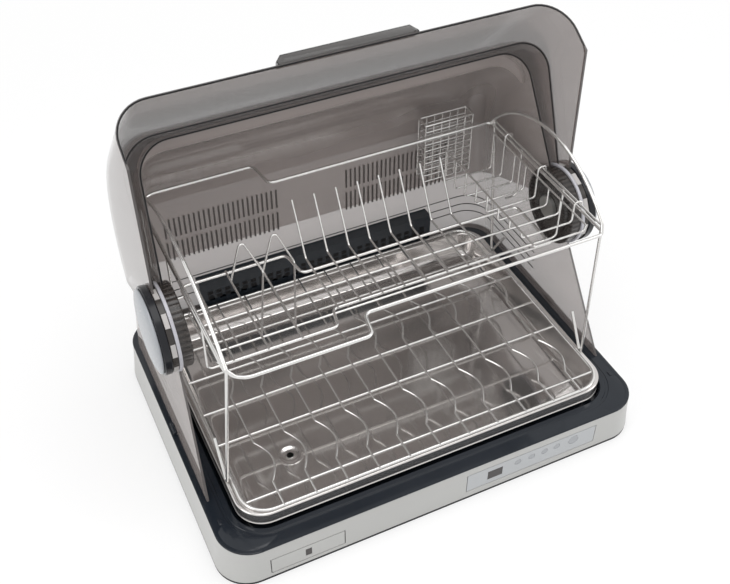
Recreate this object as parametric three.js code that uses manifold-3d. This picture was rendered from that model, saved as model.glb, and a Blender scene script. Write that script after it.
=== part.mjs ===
// A free-standing dish steriliser and dryer: a low base with a drip tray, two wire racks, and a
// drum-shaped smoked cover in three shells that turn about one pair of side hubs.
// Millimetres, +Z up, front towards -Y. The model stands with its feet at Z = 0.
import * as THREE from "three";
import { mergeVertices } from "three/addons/utils/BufferGeometryUtils.js";
import Module from "manifold-3d";

const wasm = await Module();
wasm.setup();

// Driving dimensions of the housing
const baseWidth = 502;
const baseDepth = 371;
const bandHeight = 49;
const bandFlare = 5;
const baseCorner = 38;
const wall = 2.5;
const fitGap = 0.3;
const footHeight = 4;
const footRadius = 12;
const footInset = 41;
const coverThickness = 2;
const overrun = 5;

// Hub axis and cover shells
const hubSetForward = 2;
const hubForward = baseDepth / 2 + hubSetForward;
const hubBack = baseDepth - hubForward;
const hubRise = 162;
const coverInset = 6.5;
const rearRadius = hubForward - coverInset;
const rearShoulderDrop = 12;
const rimStep = 1;
const shellPitch = 9;
const rimRadius = rearRadius + rimStep;
const midRadius = rimRadius + shellPitch;
const doorRadius = midRadius + shellPitch;
const rearCorner = 34;
const doorCorner = 38;
const doorSideInset = 8.5;
const midSideInset = 12.5;
const rearTipInset = 6.5;
const rearRimInset = 31;
const doorHalfWidth = baseWidth / 2 - doorSideInset;
const midHalfWidth = baseWidth / 2 - midSideInset;
const rearTipHalfWidth = baseWidth / 2 - rearTipInset;
const rearRimHalfWidth = baseWidth / 2 - rearRimInset;
const rearTipReach = 102.5;
const rearTipFront = hubBack - rearTipReach;
const splitOffset = 3.5;
const splitAtHub = hubBack - splitOffset;
const rimAngle = 63;
const bandStartAngle = 56.5;
const bandRampAngle = 53;
const midStartAngle = 2;
const midEndAngle = 67.6;
const doorSweep = 148.4;
const doorTrailAngle = 126.4;
const doorLeadAngle = 236.7;
const doorEdgeFront = 14.3;
const doorEdgeGap = 1.8;
const hubRadius = 47;
const hubPinRadius = 8;
const hubBore = 8.3;

// Handle along the door's free edge
const handleLength = 150;
const handleDepth = 9.9;
const handleHeight = 14.3;
const handleSlope = 5;

// Drip tray and the recess that holds it
const traySideInset = 29;
const trayFrontInset = 27;
const trayBackInset = 28;
const trayHalfWidth = baseWidth / 2 - traySideInset;
const trayFront = trayFrontInset;
const trayBack = baseDepth - trayBackInset;
const trayCorner = 32;
const trayHeight = 33;
const trayTaper = 6;
const trayWall = 1.2;
const trayBrim = 8;
const traySkirt = 24;
const traySeatGap = 0.3;
const drainX = -139;
const drainY = 112;
const drainRadius = 4;
const recessDepth = 16.5;
const recessGap = 3;

// Lower rack
const rimWire = 2.2;
const barWire = 1.8;
const rackSideInset = 7.2;
const rackEndInset = 3.6;
const waveSideInset = 42;
const waveCount = 11;
const rackBarShares = [0.062, 0.327, 0.479, 0.649, 0.805];
const waveSwing = 11;
const waveLength = 56;
const waveRows = 2;
const waveRowPitch = 128;
const waveInset = 35;
const waveShares = [[0, 0], [0.27, 0.77], [0.52, 1], [0.79, 0.6], [1, 0]];

// Upper rack
const frameWire = 2.5;
const thinWire = 1.6;
const upperSideInset = 10;
const upperHalfWidth = trayHalfWidth - upperSideInset;
const upperTopRise = 205;
const upperDepth = 62;
const archRise = 57;
const deepInset = 18;
const deepOverhang = 2;
const shallowInset = 48;
const shallowBackInset = 36;
const deepFront = trayFront + deepInset;
const deepBack = trayBack + deepOverhang;
const shallowFront = trayFront + shallowInset;
const shallowBack = trayBack - shallowBackInset;
const frontStepX = -68;
const rearStepX = -75;
const floorRailInset = 100;
const floorRailFront = trayFront + floorRailInset;
const floorRailStep = 26;
const floorBackInset = 89;
const floorRailBack = trayBack - floorBackInset;
const floorBackStep = 35;
const middleBarRun = 19;
const thinBarRun = 60;
const wideBend = 22;
const stepBend = 8;
const plateBendInset = 105;
const plateBendY = trayBack - plateBendInset;
const plateLean = 34;
const platePitch = 26.2;
const plateFirst = -60;
const plateCount = 8;
const cupPitch = 37;
const cupFirst = -184.5;
const cupCount = 3;
const cupPeak = 54;
const cupPeakShare = 0.4;
const legFrontInset = 56;
const legBackInset = 54;
const footBrimInset = 2.3;
const legFrontY = trayFront + legFrontInset;
const legBackY = trayBack - legBackInset;
const footHalfWidth = trayHalfWidth - footBrimInset;
const footReturn = 28;
const footRise = 40;
const sideRailDrop = 6;
const archSteps = 9;
const archSides = 5;
const archEndShare = 0.94;
const floorInset = 12;
const floorReach = upperHalfWidth - floorInset;
const legWire = frameWire - fitGap;

// Utensil basket and cutlery holder
const basketGap = 6;
const basketWidth = 64;
const basketEndInset = 25;
const basketBackInset = 18;
const basketRight = upperHalfWidth - basketGap;
const basketLeft = basketRight - basketWidth;
const basketFront = shallowFront + basketEndInset;
const basketBack = shallowBack - basketBackInset;
const basketLeftDrop = 5;
const basketFrontDrop = 8;
const basketBackDrop = 50;
const basketHookDrop = 5;
const basketHooks = [1, 4, 7];
const basketWires = 9;
const basketWire = 1.3;
const holderSideInset = 23;
const holderWidth = 65;
const holderLeft = upperHalfWidth - holderSideInset - holderWidth;
const holderDepth = 20;
const holderHeight = 82;
const holderTopRise = 17;
const holderWall = 1.2;

// Water drawer
const drawerSideInset = 45;
const drawerLeft = drawerSideInset - baseWidth / 2;
const drawerWidth = 82;
const drawerRise = 6;
const drawerHeight = 22;
const drawerDepth = 150;
const drawerWall = 1.6;
const gripOffset = 38;
const gripWidth = 6.5;
const gripHeight = 11;

// Control panel
const panelSideInset = 62;
const panelWidth = 166;
const panelLeft = baseWidth / 2 - panelSideInset - panelWidth;
const panelRise = 10;
const panelHeight = 27;
const panelThickness = 2;
const displayOffset = 26;
const displayWidth = 18.3;
const displayHeight = 13;
const keyRadius = 4;
const powerKeyRadius = 6.5;
const keyLength = 3.7;
const keyOffsets = [64, 82, 99, 115];
const powerKeyOffset = 137;

// Rear duct, fan and heater
const ductHalfWidth = 158;
const ductDepth = 19.2;
const ductHeight = 53;
const ductWall = 2;
const outletCount = 22;
const outletWidth = 7;
const outletHeight = 5;
const fanX = 90;
const fanBack = 109;
const fanY = baseDepth - fanBack;
const fanRadius = 52;
const fanWall = 1.5;
const impellerRadius = 44;
const bladeCount = 16;
const motorRadius = 14;
const shaftRadius = 2;
const heaterWidth = 110;
const heaterEndGap = 11;
const finCount = 9;

// Rear vents of the cover
const ventPitch = 6;
const ventCount = 24;
const ventWidth = 3;
const ventHeight = 27;
const ventGap = 7;
const ventFirst = 46;
const ventRise = 88.6;

// Heights and places that follow
const bandBottom = footHeight;
const deckTop = bandBottom + bandHeight;
const hubZ = deckTop + hubRise;
const halfWidth = baseWidth / 2;
const deckThickness = 3;
const recessFloor = deckTop - recessDepth;
const recessUnder = recessFloor - wall;
const trayBottom = recessFloor + traySeatGap;
const trayRim = trayBottom + trayHeight;
const lowerRackZ = trayRim + fitGap + rimWire;
const upperTop = deckTop + upperTopRise;
const footZ = trayRim + fitGap + legWire * Math.SQRT1_2;
const upperFloor = upperTop - upperDepth;
const coverBack = hubBack + rearRadius;
const ductFront = coverBack - ductDepth;
const wavePitch = (2 * (trayHalfWidth - waveSideInset)) / (waveCount - 1);
const wavesSideways = 3;
const waveFirst = wavesSideways - (wavePitch * (waveCount - 1)) / 2;
const waveStart = trayFront + waveInset;
const originBack = 191.6;
const circleSteps = 24;
const fewSteps = 12;
const quarterTurn = 90;

// A colour is one 8-bit value for each channel, read from the photograph and smoothed
function finish(colour, roughness, metalness, opacity = 1) {
  const settings = { color: new THREE.Color(colour), roughness, metalness };
  if (opacity < 1) {
    settings.transparent = true;
    settings.opacity = opacity;
  }
  return new THREE.MeshStandardMaterial(settings);
}

const silver = finish("#c9c8c5", 0.42, 0.35);
const black = finish("#1b1e24", 0.22, 0);
const paleGrey = finish("#d7dbe0", 0.35, 0.1);
const darkGlass = finish("#3d3a3b", 0.1, 0);
const smoked = finish("#8d8581", 0.12, 0, 0.5);
const steel = finish("#cfcac4", 0.18, 1);
const innerPlastic = finish("#55585c", 0.5, 0);
const board = finish("#2f6a45", 0.6, 0);
const rubber = finish("#202124", 0.9, 0);

const cabinet = new THREE.Group();
cabinet.position.set(0, -originBack, 0);

// Closed geometry to a solid and back, with faces turned outwards
function toSolid(geometry) {
  const bare = geometry.clone();
  bare.deleteAttribute("normal");
  bare.deleteAttribute("uv");
  const merged = mergeVertices(bare, 1e-4);
  const points = merged.getAttribute("position");
  const triangles = new Uint32Array(merged.getIndex().array);
  const a = new THREE.Vector3();
  const b = new THREE.Vector3();
  const c = new THREE.Vector3();
  let volume = 0;
  for (let i = 0; i < triangles.length; i += 3) {
    a.fromBufferAttribute(points, triangles[i]);
    b.fromBufferAttribute(points, triangles[i + 1]);
    c.fromBufferAttribute(points, triangles[i + 2]);
    volume += a.dot(b.cross(c));
  }
  if (volume < 0) {
    for (let i = 0; i < triangles.length; i += 3) {
      [triangles[i], triangles[i + 1]] = [triangles[i + 1], triangles[i]];
    }
  }
  const vertProperties = new Float32Array(points.array);
  return new wasm.Manifold(new wasm.Mesh({ numProp: 3, vertProperties, triVerts: triangles }));
}

function add(name, solid, material) {
  const data = solid.getMesh();
  const geometry = new THREE.BufferGeometry();
  geometry.setAttribute("position", new THREE.BufferAttribute(new Float32Array(data.vertProperties), 3));
  geometry.setIndex(new THREE.BufferAttribute(new Uint32Array(data.triVerts), 1));
  geometry.computeVertexNormals();
  const mesh = new THREE.Mesh(geometry, material);
  mesh.name = name;
  cabinet.add(mesh);
  return mesh;
}

function join(solids) {
  return solids.reduce((whole, next) => whole.add(next));
}

// A box between two corners
function block(x0, x1, y0, y1, z0, z1) {
  const geometry = new THREE.BoxGeometry(x1 - x0, y1 - y0, z1 - z0);
  return toSolid(geometry.translate((x0 + x1) / 2, (y0 + y1) / 2, (z0 + z1) / 2));
}

// A small round bar needs fewer sides than a hub disc
const sidesFor = (radius) => (radius < hubPinRadius ? fewSteps : circleSteps);

// A round bar along an axis, from one place on it to another
function barX(x0, x1, y, z, radius, endRadius = radius) {
  const geometry = new THREE.CylinderGeometry(endRadius, radius, x1 - x0, sidesFor(radius));
  return toSolid(geometry.rotateZ(-Math.PI / 2).translate((x0 + x1) / 2, y, z));
}

function barY(y0, y1, x, z, radius) {
  const geometry = new THREE.CylinderGeometry(radius, radius, y1 - y0, sidesFor(radius));
  return toSolid(geometry.translate(x, (y0 + y1) / 2, z));
}

function barZ(z0, z1, x, y, radius, topRadius = radius) {
  const geometry = new THREE.CylinderGeometry(topRadius, radius, z1 - z0, sidesFor(radius));
  return toSolid(geometry.rotateX(Math.PI / 2).translate(x, y, (z0 + z1) / 2));
}

// Rings with the same number of points, skinned into one closed body; flat(p) gives a cap's plane
function loft(rings, flat) {
  const count = rings[0].length;
  const positions = [];
  const index = [];
  for (const ring of rings) {
    for (const point of ring) {
      positions.push(point.x, point.y, point.z);
    }
  }
  for (let r = 0; r + 1 < rings.length; r++) {
    for (let i = 0; i < count; i++) {
      const j = (i + 1) % count;
      const low = r * count;
      const high = low + count;
      index.push(low + i, low + j, high + j, low + i, high + j, high + i);
    }
  }
  const last = (rings.length - 1) * count;
  const clockwise = THREE.ShapeUtils.isClockWise(rings[0].map(flat));
  for (const [a, b, c] of THREE.ShapeUtils.triangulateShape(rings[0].map(flat), [])) {
    index.push(...(clockwise ? [a, b, c] : [c, b, a]));
  }
  for (const [a, b, c] of THREE.ShapeUtils.triangulateShape(rings[rings.length - 1].map(flat), [])) {
    index.push(...(clockwise ? [last + c, last + b, last + a] : [last + a, last + b, last + c]));
  }
  const geometry = new THREE.BufferGeometry();
  geometry.setAttribute("position", new THREE.Float32BufferAttribute(positions, 3));
  geometry.setIndex(index);
  return toSolid(geometry);
}

// A plan outline with round corners, at one height
function planRing(halfX, y0, y1, corner, z) {
  const steps = 5;
  const centres = [
    [halfX - corner, y0 + corner, -quarterTurn],
    [halfX - corner, y1 - corner, 0],
    [corner - halfX, y1 - corner, quarterTurn],
    [corner - halfX, y0 + corner, 2 * quarterTurn],
  ];
  const ring = [];
  for (const [x, y, start] of centres) {
    for (let i = 0; i <= steps; i++) {
      const angle = THREE.MathUtils.degToRad(start + (quarterTurn * i) / steps);
      ring.push(new THREE.Vector3(x + corner * Math.cos(angle), y + corner * Math.sin(angle), z));
    }
  }
  return ring;
}

const inPlan = (point) => new THREE.Vector2(point.x, point.y);
const inSide = (point) => new THREE.Vector2(point.y, point.z);

// A wire along a path of points: each ring of points slides along its run to the next mitre
function wire(path, radius, closed = false, sides = 4) {
  const count = path.length;
  const runs = path.map((point, i) => path[(i + 1) % count].clone().sub(point).normalize());
  const start = closed ? runs[count - 1].clone().add(runs[0]).normalize() : runs[0].clone();
  const across = new THREE.Vector3(0, 0, 1);
  if (Math.abs(runs[0].z) > Math.SQRT1_2) {
    across.set(1, 0, 0);
  }
  const side = across.clone().cross(runs[0]).normalize();
  const up = runs[0].clone().cross(side);
  const slide = (point, run, through, normal) =>
    point.clone().addScaledVector(run, through.clone().sub(point).dot(normal) / run.dot(normal));
  let ring = [];
  for (let i = 0; i < sides; i++) {
    const angle = (2 * Math.PI * (i + 1 / 2)) / sides;
    const point = path[0].clone();
    point.addScaledVector(side, radius * Math.cos(angle)).addScaledVector(up, radius * Math.sin(angle));
    ring.push(slide(point, runs[0], path[0], start));
  }
  const rings = [ring];
  const turns = closed ? count : count - 1;
  for (let i = 1; i <= turns; i++) {
    const before = runs[i - 1];
    const after = closed || i < count - 1 ? runs[i % count] : before;
    const normal = before.clone().add(after).normalize();
    ring = ring.map((point) => slide(point, before, path[i % count], normal));
    rings.push(ring);
  }
  const positions = [];
  const index = [];
  const kept = closed ? rings.slice(0, -1) : rings;
  for (const each of kept) {
    for (const point of each) {
      positions.push(point.x, point.y, point.z);
    }
  }
  for (let r = 0; r < turns; r++) {
    const low = r * sides;
    const high = ((r + 1) % kept.length) * sides;
    for (let i = 0; i < sides; i++) {
      const j = (i + 1) % sides;
      index.push(low + i, low + j, high + j, low + i, high + j, high + i);
    }
  }
  if (!closed) {
    const last = (kept.length - 1) * sides;
    for (let i = 1; i + 1 < sides; i++) {
      index.push(0, i + 1, i, last, last + i, last + i + 1);
    }
  }
  const geometry = new THREE.BufferGeometry();
  geometry.setAttribute("position", new THREE.Float32BufferAttribute(positions, 3));
  geometry.setIndex(index);
  return toSolid(geometry);
}

const at = (x, y, z) => new THREE.Vector3(x, y, z);

// The same path with its inner corners rounded
function rounded(path, radius, steps = 3) {
  const out = [path[0]];
  for (let i = 1; i + 1 < path.length; i++) {
    const into = path[i - 1].clone().sub(path[i]).normalize();
    const away = path[i + 1].clone().sub(path[i]).normalize();
    const half = Math.acos(THREE.MathUtils.clamp(into.dot(away), -1, 1)) / 2;
    const room = Math.min(path[i - 1].distanceTo(path[i]), path[i + 1].distanceTo(path[i])) / 2;
    const reach = Math.min(radius / Math.tan(half), room);
    const from = path[i].clone().addScaledVector(into, reach);
    const to = path[i].clone().addScaledVector(away, reach);
    for (let s = 0; s <= steps; s++) {
      const t = s / steps;
      const point = from.clone().multiplyScalar((1 - t) * (1 - t));
      point.addScaledVector(path[i], 2 * t * (1 - t)).addScaledVector(to, t * t);
      out.push(point);
    }
  }
  out.push(path[path.length - 1]);
  return out;
}

// A point of the hub's drum, at an angle from +Y towards +Z
function onDrum(angle, radius) {
  const turn = THREE.MathUtils.degToRad(angle);
  return { y: hubBack + radius * Math.cos(turn), z: hubZ + radius * Math.sin(turn) };
}

// Profile points of a drum shell, each with the direction in which its wall is inset
function arcProfile(from, to, radiusAt, steps) {
  const profile = [];
  for (let i = 0; i <= steps; i++) {
    const angle = from + ((to - from) * i) / steps;
    const turn = THREE.MathUtils.degToRad(angle);
    profile.push({ ...onDrum(angle, radiusAt(angle)), inY: -Math.cos(turn), inZ: -Math.sin(turn) });
  }
  return profile;
}

// A drum solid with rounded side corners: side outlines of a profile and its closing points,
// skinned from the left side to the right one
function drum(profile, closing, widthAt, corner, inset) {
  const cornerSteps = 4;
  const stations = [];
  for (let i = 0; i <= cornerSteps; i++) {
    const turn = (Math.PI / 2) * (1 - i / cornerSteps);
    const inward = corner - (corner - inset) * Math.cos(turn);
    stations.push({ inward, sideways: corner - (corner - inset) * Math.sin(turn) });
  }
  const ringAt = ({ inward, sideways }, side) => {
    const outline = profile.map((p) => ({ y: p.y + p.inY * inward, z: p.z + p.inZ * inward }));
    return [...outline, ...closing].map((p) => at(side * (widthAt(p.z) - sideways), p.y, p.z));
  };
  const left = stations.map((station) => ringAt(station, -1));
  const right = stations.map((station) => ringAt(station, 1)).reverse();
  return loft([...left, ...right], inSide);
}

const coverWidthAt = (z) => {
  const share = (z - deckTop) / (onDrum(rimAngle, rimRadius).z - deckTop);
  return rearTipHalfWidth + (rearRimHalfWidth - rearTipHalfWidth) * share;
};

// Base shell: a satin band, closed below by a plate and open above for the deck
function baseShell() {
  const top = deckTop - wall / 2;
  const outer = loft([
    planRing(halfWidth + bandFlare, 0, baseDepth, baseCorner, bandBottom),
    planRing(halfWidth, 0, baseDepth, baseCorner, top),
  ], inPlan);
  const inner = loft([
    planRing(halfWidth + bandFlare - wall, wall, baseDepth - wall, baseCorner - wall, bandBottom - overrun),
    planRing(halfWidth - wall, wall, baseDepth - wall, baseCorner - wall, top + overrun),
  ], inPlan);
  const drawerWay = block(drawerLeft - fitGap, drawerLeft + drawerWidth + fitGap, -overrun, wall + overrun,
    bandBottom + drawerRise - fitGap, bandBottom + drawerRise + drawerHeight + fitGap);
  const panelWay = block(panelLeft - fitGap, panelLeft + panelWidth + fitGap, -overrun, wall + overrun,
    bandBottom + panelRise - fitGap, bandBottom + panelRise + panelHeight + fitGap);
  const around = inletRadius + fitGap;
  const inletWay = barY(baseDepth - wall - overrun, baseDepth + overrun, inletX, inletZ, around);
  return outer.subtract(inner).subtract(drawerWay).subtract(panelWay).subtract(inletWay);
}

// Cord inlet in the back wall
const inletSideInset = 51;
const inletX = halfWidth - inletSideInset;
const inletRadius = 7;
const inletBore = 3.5;
const inletFlange = 9.5;
const inletZ = bandBottom + bandHeight / 2;
const inletProud = 5;

function cordInlet() {
  const sleeve = barY(baseDepth - wall - inletProud, baseDepth + inletProud, inletX, inletZ, inletRadius);
  const flange = barY(baseDepth + fitGap, baseDepth + inletProud / 2, inletX, inletZ, inletFlange);
  const through = 2 * inletProud;
  const bore = barY(baseDepth - wall - through, baseDepth + through, inletX, inletZ, inletBore);
  return sleeve.add(flange).subtract(bore);
}

// Bottom cover with pegs for the supply board, air slots under the fan and its screws and feet
const pegRadius = 3;
const pegHeight = 5.4;
const supplyLeft = -150;
const supplyWidth = 86;
const supplyFront = 210;
const supplyDepth = 62;
const supplyThickness = 1.6;
const pegInset = 6;
const intakeSlots = 7;
const intakePitch = 8;
const intakeSlotWidth = 4;
const intakeReach = 26;
const screwRadius = 3.4;
const screwHead = 1.7;
const coverTop = bandBottom + coverThickness;

function pegPlaces() {
  const places = [];
  for (const x of [supplyLeft + pegInset, supplyLeft + supplyWidth - pegInset]) {
    for (const y of [supplyFront + pegInset, supplyFront + supplyDepth - pegInset]) {
      places.push([x, y]);
    }
  }
  return places;
}

function bottomCover() {
  const half = halfWidth + bandFlare - wall - 2 * fitGap;
  const edge = wall + fitGap;
  let plate = loft([
    planRing(half, edge, baseDepth - edge, baseCorner - edge, bandBottom),
    planRing(half - fitGap, edge, baseDepth - edge, baseCorner - edge, coverTop),
  ], inPlan);
  for (const [x, y] of pegPlaces()) {
    plate = plate.add(barZ(coverTop - coverThickness / 2, coverTop + pegHeight, x, y, pegRadius));
  }
  for (let i = 0; i < intakeSlots; i++) {
    const x = fanX + (i - (intakeSlots - 1) / 2) * intakePitch;
    plate = plate.subtract(block(x - intakeSlotWidth / 2, x + intakeSlotWidth / 2,
      fanY - intakeReach, fanY + intakeReach, bandBottom - overrun, coverTop + overrun));
  }
  return plate;
}

function supplyBoard() {
  const low = coverTop + pegHeight + fitGap;
  const top = low + supplyThickness;
  const right = supplyLeft + supplyWidth;
  const sheet = block(supplyLeft, right, supplyFront, supplyFront + supplyDepth, low, top);
  const relayShare = 0.3;
  const coilShare = 0.55;
  const partWidth = 20;
  const partHeight = 14;
  const relayX = supplyLeft + supplyWidth * relayShare;
  const coilX = supplyLeft + supplyWidth * coilShare;
  const seat = top - supplyThickness / 2;
  const relay = block(relayX - partWidth / 2, relayX + partWidth / 2 - fitGap,
    supplyFront + pegInset, supplyFront + pegInset + partWidth, seat, top + partHeight);
  const coil = block(coilX, coilX + partWidth, supplyFront + supplyDepth / 2,
    supplyFront + supplyDepth - pegInset, seat, top + partHeight);
  return join([sheet, relay, coil]);
}

function coverScrews() {
  const screws = [];
  for (const x of [-1, 0, 1]) {
    for (const y of [footInset - footRadius, baseDepth - footInset + footRadius]) {
      screws.push(barZ(bandBottom - screwHead - fitGap, bandBottom - fitGap,
        x * (halfWidth - footInset - 2 * footRadius), y, screwRadius));
    }
  }
  return screws;
}

// Deck: a glossy lid on the band, with the recess for the drip tray and the air way to the duct
function deck() {
  const seat = deckTop - wall / 2 + fitGap;
  const plugEdge = wall + 2 * fitGap;
  const bevel = wall / 2 - 2 * fitGap;
  const flange = loft([
    planRing(halfWidth, 0, baseDepth, baseCorner, seat),
    planRing(halfWidth, 0, baseDepth, baseCorner, seat + bevel / 2),
    planRing(halfWidth - bevel, bevel, baseDepth - bevel, baseCorner - bevel, deckTop),
  ], inPlan);
  const plugRing = (z) =>
    planRing(halfWidth - plugEdge, plugEdge, baseDepth - plugEdge, baseCorner - plugEdge, z);
  const under = deckTop - deckThickness;
  const plug = loft([plugRing(under), plugRing(seat + bevel / 2)], inPlan);
  const half = trayHalfWidth + recessGap;
  const front = trayFront - recessGap;
  const rim = trayBack + recessGap / 2;
  const round = trayCorner + recessGap;
  const tub = loft([
    planRing(half + wall - trayTaper / 2, front - wall, rim - fitGap, round + wall, recessUnder),
    planRing(half + wall, front - wall, rim, round + wall, deckTop - deckThickness / 2),
  ], inPlan);
  const tubSpace = loft([
    planRing(half - trayTaper / 2, front, trayBack, round, recessFloor),
    planRing(half, front, trayBack + fitGap, round, deckTop + overrun),
  ], inPlan);
  const drain = barZ(recessUnder - overrun, recessFloor + overrun, drainX, drainY, 2 * drainRadius);
  const airWay = block(airLeft, airRight, airFront, airBack, under - overrun, deckTop + overrun);
  return join([flange, plug, tub]).subtract(tubSpace).subtract(drain).subtract(airWay);
}

// Air way from the fan's riser, up through the deck into the duct
const riserHalfWidth = 40;
const ductBack = coverBack - wall - 2 * fitGap;
const airLeft = fanX - riserHalfWidth;
const airRight = fanX + riserHalfWidth;
const airFront = ductFront + ductWall + fitGap;
const airBack = ductBack - ductWall - fitGap;

function rearDuct() {
  const low = deckTop + fitGap;
  const top = deckTop + ductHeight;
  let duct = block(-ductHalfWidth, ductHalfWidth, ductFront, ductBack, low, top);
  duct = duct.subtract(block(ductWall - ductHalfWidth, ductHalfWidth - ductWall, ductFront + ductWall,
    ductBack - ductWall, low - overrun, top - ductWall));
  const pitch = (2 * ductHalfWidth - 2 * outletWidth) / outletCount;
  const rowShare = 0.42;
  const row = low + ductHeight * rowShare;
  for (let i = 0; i < outletCount; i++) {
    const x = (i - (outletCount - 1) / 2) * pitch;
    duct = duct.subtract(block(x - outletWidth / 2, x + outletWidth / 2, ductFront - overrun,
      ductFront + ductWall + overrun / 2, row, row + outletHeight));
  }
  return duct;
}

function heater() {
  const front = ductFront + ductWall + fitGap;
  const back = ductBack - ductWall - fitGap;
  const low = deckTop + ductHeight / 2;
  const high = deckTop + ductHeight - ductWall - fitGap;
  const plate = 3;
  const left = ductHalfWidth - ductWall - heaterEndGap - heaterWidth;
  const parts = [block(left, left + heaterWidth, front, back, high - plate, high)];
  const fin = 1.5;
  const pitch = (heaterWidth - fin) / (finCount - 1);
  for (let i = 0; i < finCount; i++) {
    const x = left + i * pitch;
    parts.push(block(x, x + fin, front, back, low, high - plate / 2));
  }
  return join(parts);
}

// Fan housing: a flat drum with a riser at the back, drawing air through the bottom cover
const fanLow = coverTop + fitGap;
const fanHigh = recessUnder - fitGap;

function fanHousing() {
  const riserTop = deckTop - deckThickness - fitGap;
  const outer = join([
    barZ(fanLow, fanHigh, fanX, fanY, fanRadius),
    block(airLeft, airRight, fanY, airBack, fanLow, fanHigh),
    block(airLeft, airRight, airFront, airBack, fanLow, riserTop),
  ]);
  const eye = 30;
  const low = fanLow + fanWall;
  const left = airLeft + fanWall;
  const right = airRight - fanWall;
  const inside = join([
    barZ(low, fanHigh - fanWall, fanX, fanY, fanRadius - fanWall),
    block(left, right, fanY, airBack - fanWall, low, fanHigh - fanWall),
    block(left, right, airFront + fanWall, airBack - fanWall, low, riserTop + overrun),
    barZ(fanLow - overrun, fanLow + 2 * fanWall, fanX, fanY, eye),
  ]);
  return outer.subtract(inside);
}

const motorTop = fanHigh - fanWall - fitGap;
const motorHeight = 8.5;
const motorClearance = 1;
const impellerTop = motorTop - motorHeight - motorClearance;
const impellerHeight = 11;

function fanMotor() {
  const can = barZ(motorTop - motorHeight, motorTop, fanX, fanY, motorRadius);
  const shaft = barZ(impellerTop - impellerHeight, motorTop - motorHeight / 2, fanX, fanY, shaftRadius);
  return can.add(shaft);
}

function impeller() {
  const plate = 1.5;
  const bossRadius = 7;
  const bladeInner = 31;
  const bladeThickness = 1.5;
  const parts = [
    barZ(impellerTop - plate, impellerTop, fanX, fanY, impellerRadius),
    barZ(impellerTop - impellerHeight, impellerTop - plate / 2, fanX, fanY, bossRadius),
  ];
  for (let i = 0; i < bladeCount; i++) {
    const bladeHeight = impellerHeight - plate / 2;
    const blade = new THREE.BoxGeometry(impellerRadius - bladeInner, bladeThickness, bladeHeight);
    blade.translate((impellerRadius + bladeInner) / 2 - fitGap, 0, -plate / 2);
    blade.rotateZ((2 * Math.PI * i) / bladeCount);
    blade.translate(fanX, fanY, impellerTop - impellerHeight / 2);
    parts.push(toSolid(blade));
  }
  const boreLow = impellerTop - 2 * impellerHeight;
  const bore = barZ(boreLow, impellerTop + overrun, fanX, fanY, shaftRadius + fitGap);
  return join(parts).subtract(bore);
}

// Control panel, its dark display, the keys in their holes, and the board behind them
const panelLow = bandBottom + panelRise;
const panelMiddle = panelLow + panelHeight / 2;
const keyRowShare = 0.63;
const keyRow = panelLow + panelHeight * keyRowShare;
const displayLeft = panelLeft + displayOffset;
const displayLow = panelMiddle - displayHeight / 2;
const keyTravel = 0.6;
const keyFace = 0.1;
const boardThickness = 1.6;

function keyPlaces() {
  const keys = keyOffsets.map((offset, i) => {
    return { name: "key_" + (i + 1), x: panelLeft + offset, radius: keyRadius };
  });
  return [...keys, { name: "power_key", x: panelLeft + powerKeyOffset, radius: powerKeyRadius }];
}

function controlPanel() {
  let panel = block(panelLeft, panelLeft + panelWidth, 0, panelThickness, panelLow, panelLow + panelHeight);
  panel = panel.subtract(block(displayLeft - fitGap, displayLeft + displayWidth + fitGap, -overrun,
    panelThickness + overrun, displayLow - fitGap, displayLow + displayHeight + fitGap));
  for (const key of keyPlaces()) {
    panel = panel.subtract(barY(-overrun, panelThickness + overrun, key.x, keyRow, key.radius + fitGap));
  }
  return panel;
}

function controlBoard() {
  const front = keyFace + keyLength + keyTravel + 2 * fitGap;
  const lugWidth = 8;
  const back = front + boardThickness;
  const left = panelLeft - lugWidth;
  const right = panelLeft + panelWidth + lugWidth;
  const parts = [block(left, right, front, back, panelLow, panelLow + panelHeight)];
  for (const x of [left, right - lugWidth + 2 * fitGap]) {
    parts.push(block(x, x + lugWidth - 2 * fitGap, wall + fitGap, front + boardThickness / 2,
      panelLow + pegInset, panelLow + panelHeight - pegInset));
  }
  parts.push(block(displayLeft, displayLeft + displayWidth, panelThickness + fitGap,
    front + boardThickness / 2, displayLow, displayLow + displayHeight));
  return join(parts);
}

// Water drawer with its front, an open tub, a dark grip slot, and two runners below it
const drawerLow = bandBottom + drawerRise;
const tubLow = drawerLow + coverThickness;
const tubHigh = drawerLow + drawerHeight - coverThickness;

function waterDrawer() {
  const right = drawerLeft + drawerWidth;
  const side = coverThickness;
  const front = block(drawerLeft, right, 0, wall, drawerLow, drawerLow + drawerHeight);
  const tub = block(drawerLeft + side, right - side, wall / 2, drawerDepth, tubLow, tubHigh);
  const inset = side + drawerWall;
  const space = block(drawerLeft + inset, right - inset, wall, drawerDepth - drawerWall,
    tubLow + drawerWall, tubHigh + overrun);
  const grip = gripBox(fitGap, wall - drawerWall / 2);
  return front.add(tub).subtract(space).subtract(grip);
}

function gripBox(gap, depth) {
  const left = drawerLeft + gripOffset;
  const low = drawerLow + (drawerHeight - gripHeight) / 2;
  const front = gap > 0 ? -overrun : fitGap;
  return block(left - gap, left + gripWidth + gap, front, depth, low - gap, low + gripHeight + gap);
}

function drawerRail(x) {
  const railWidth = 7;
  const lip = 1.4;
  const foot = block(x - railWidth / 2, x + railWidth / 2, wall + coverThickness, drawerDepth + wall,
    coverTop + fitGap, tubLow - fitGap);
  const stopDepth = 3;
  const stop = block(x - railWidth / 2, x + railWidth / 2, drawerDepth + lip, drawerDepth + lip + stopDepth,
    coverTop + fitGap, tubHigh);
  return foot.add(stop);
}

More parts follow.
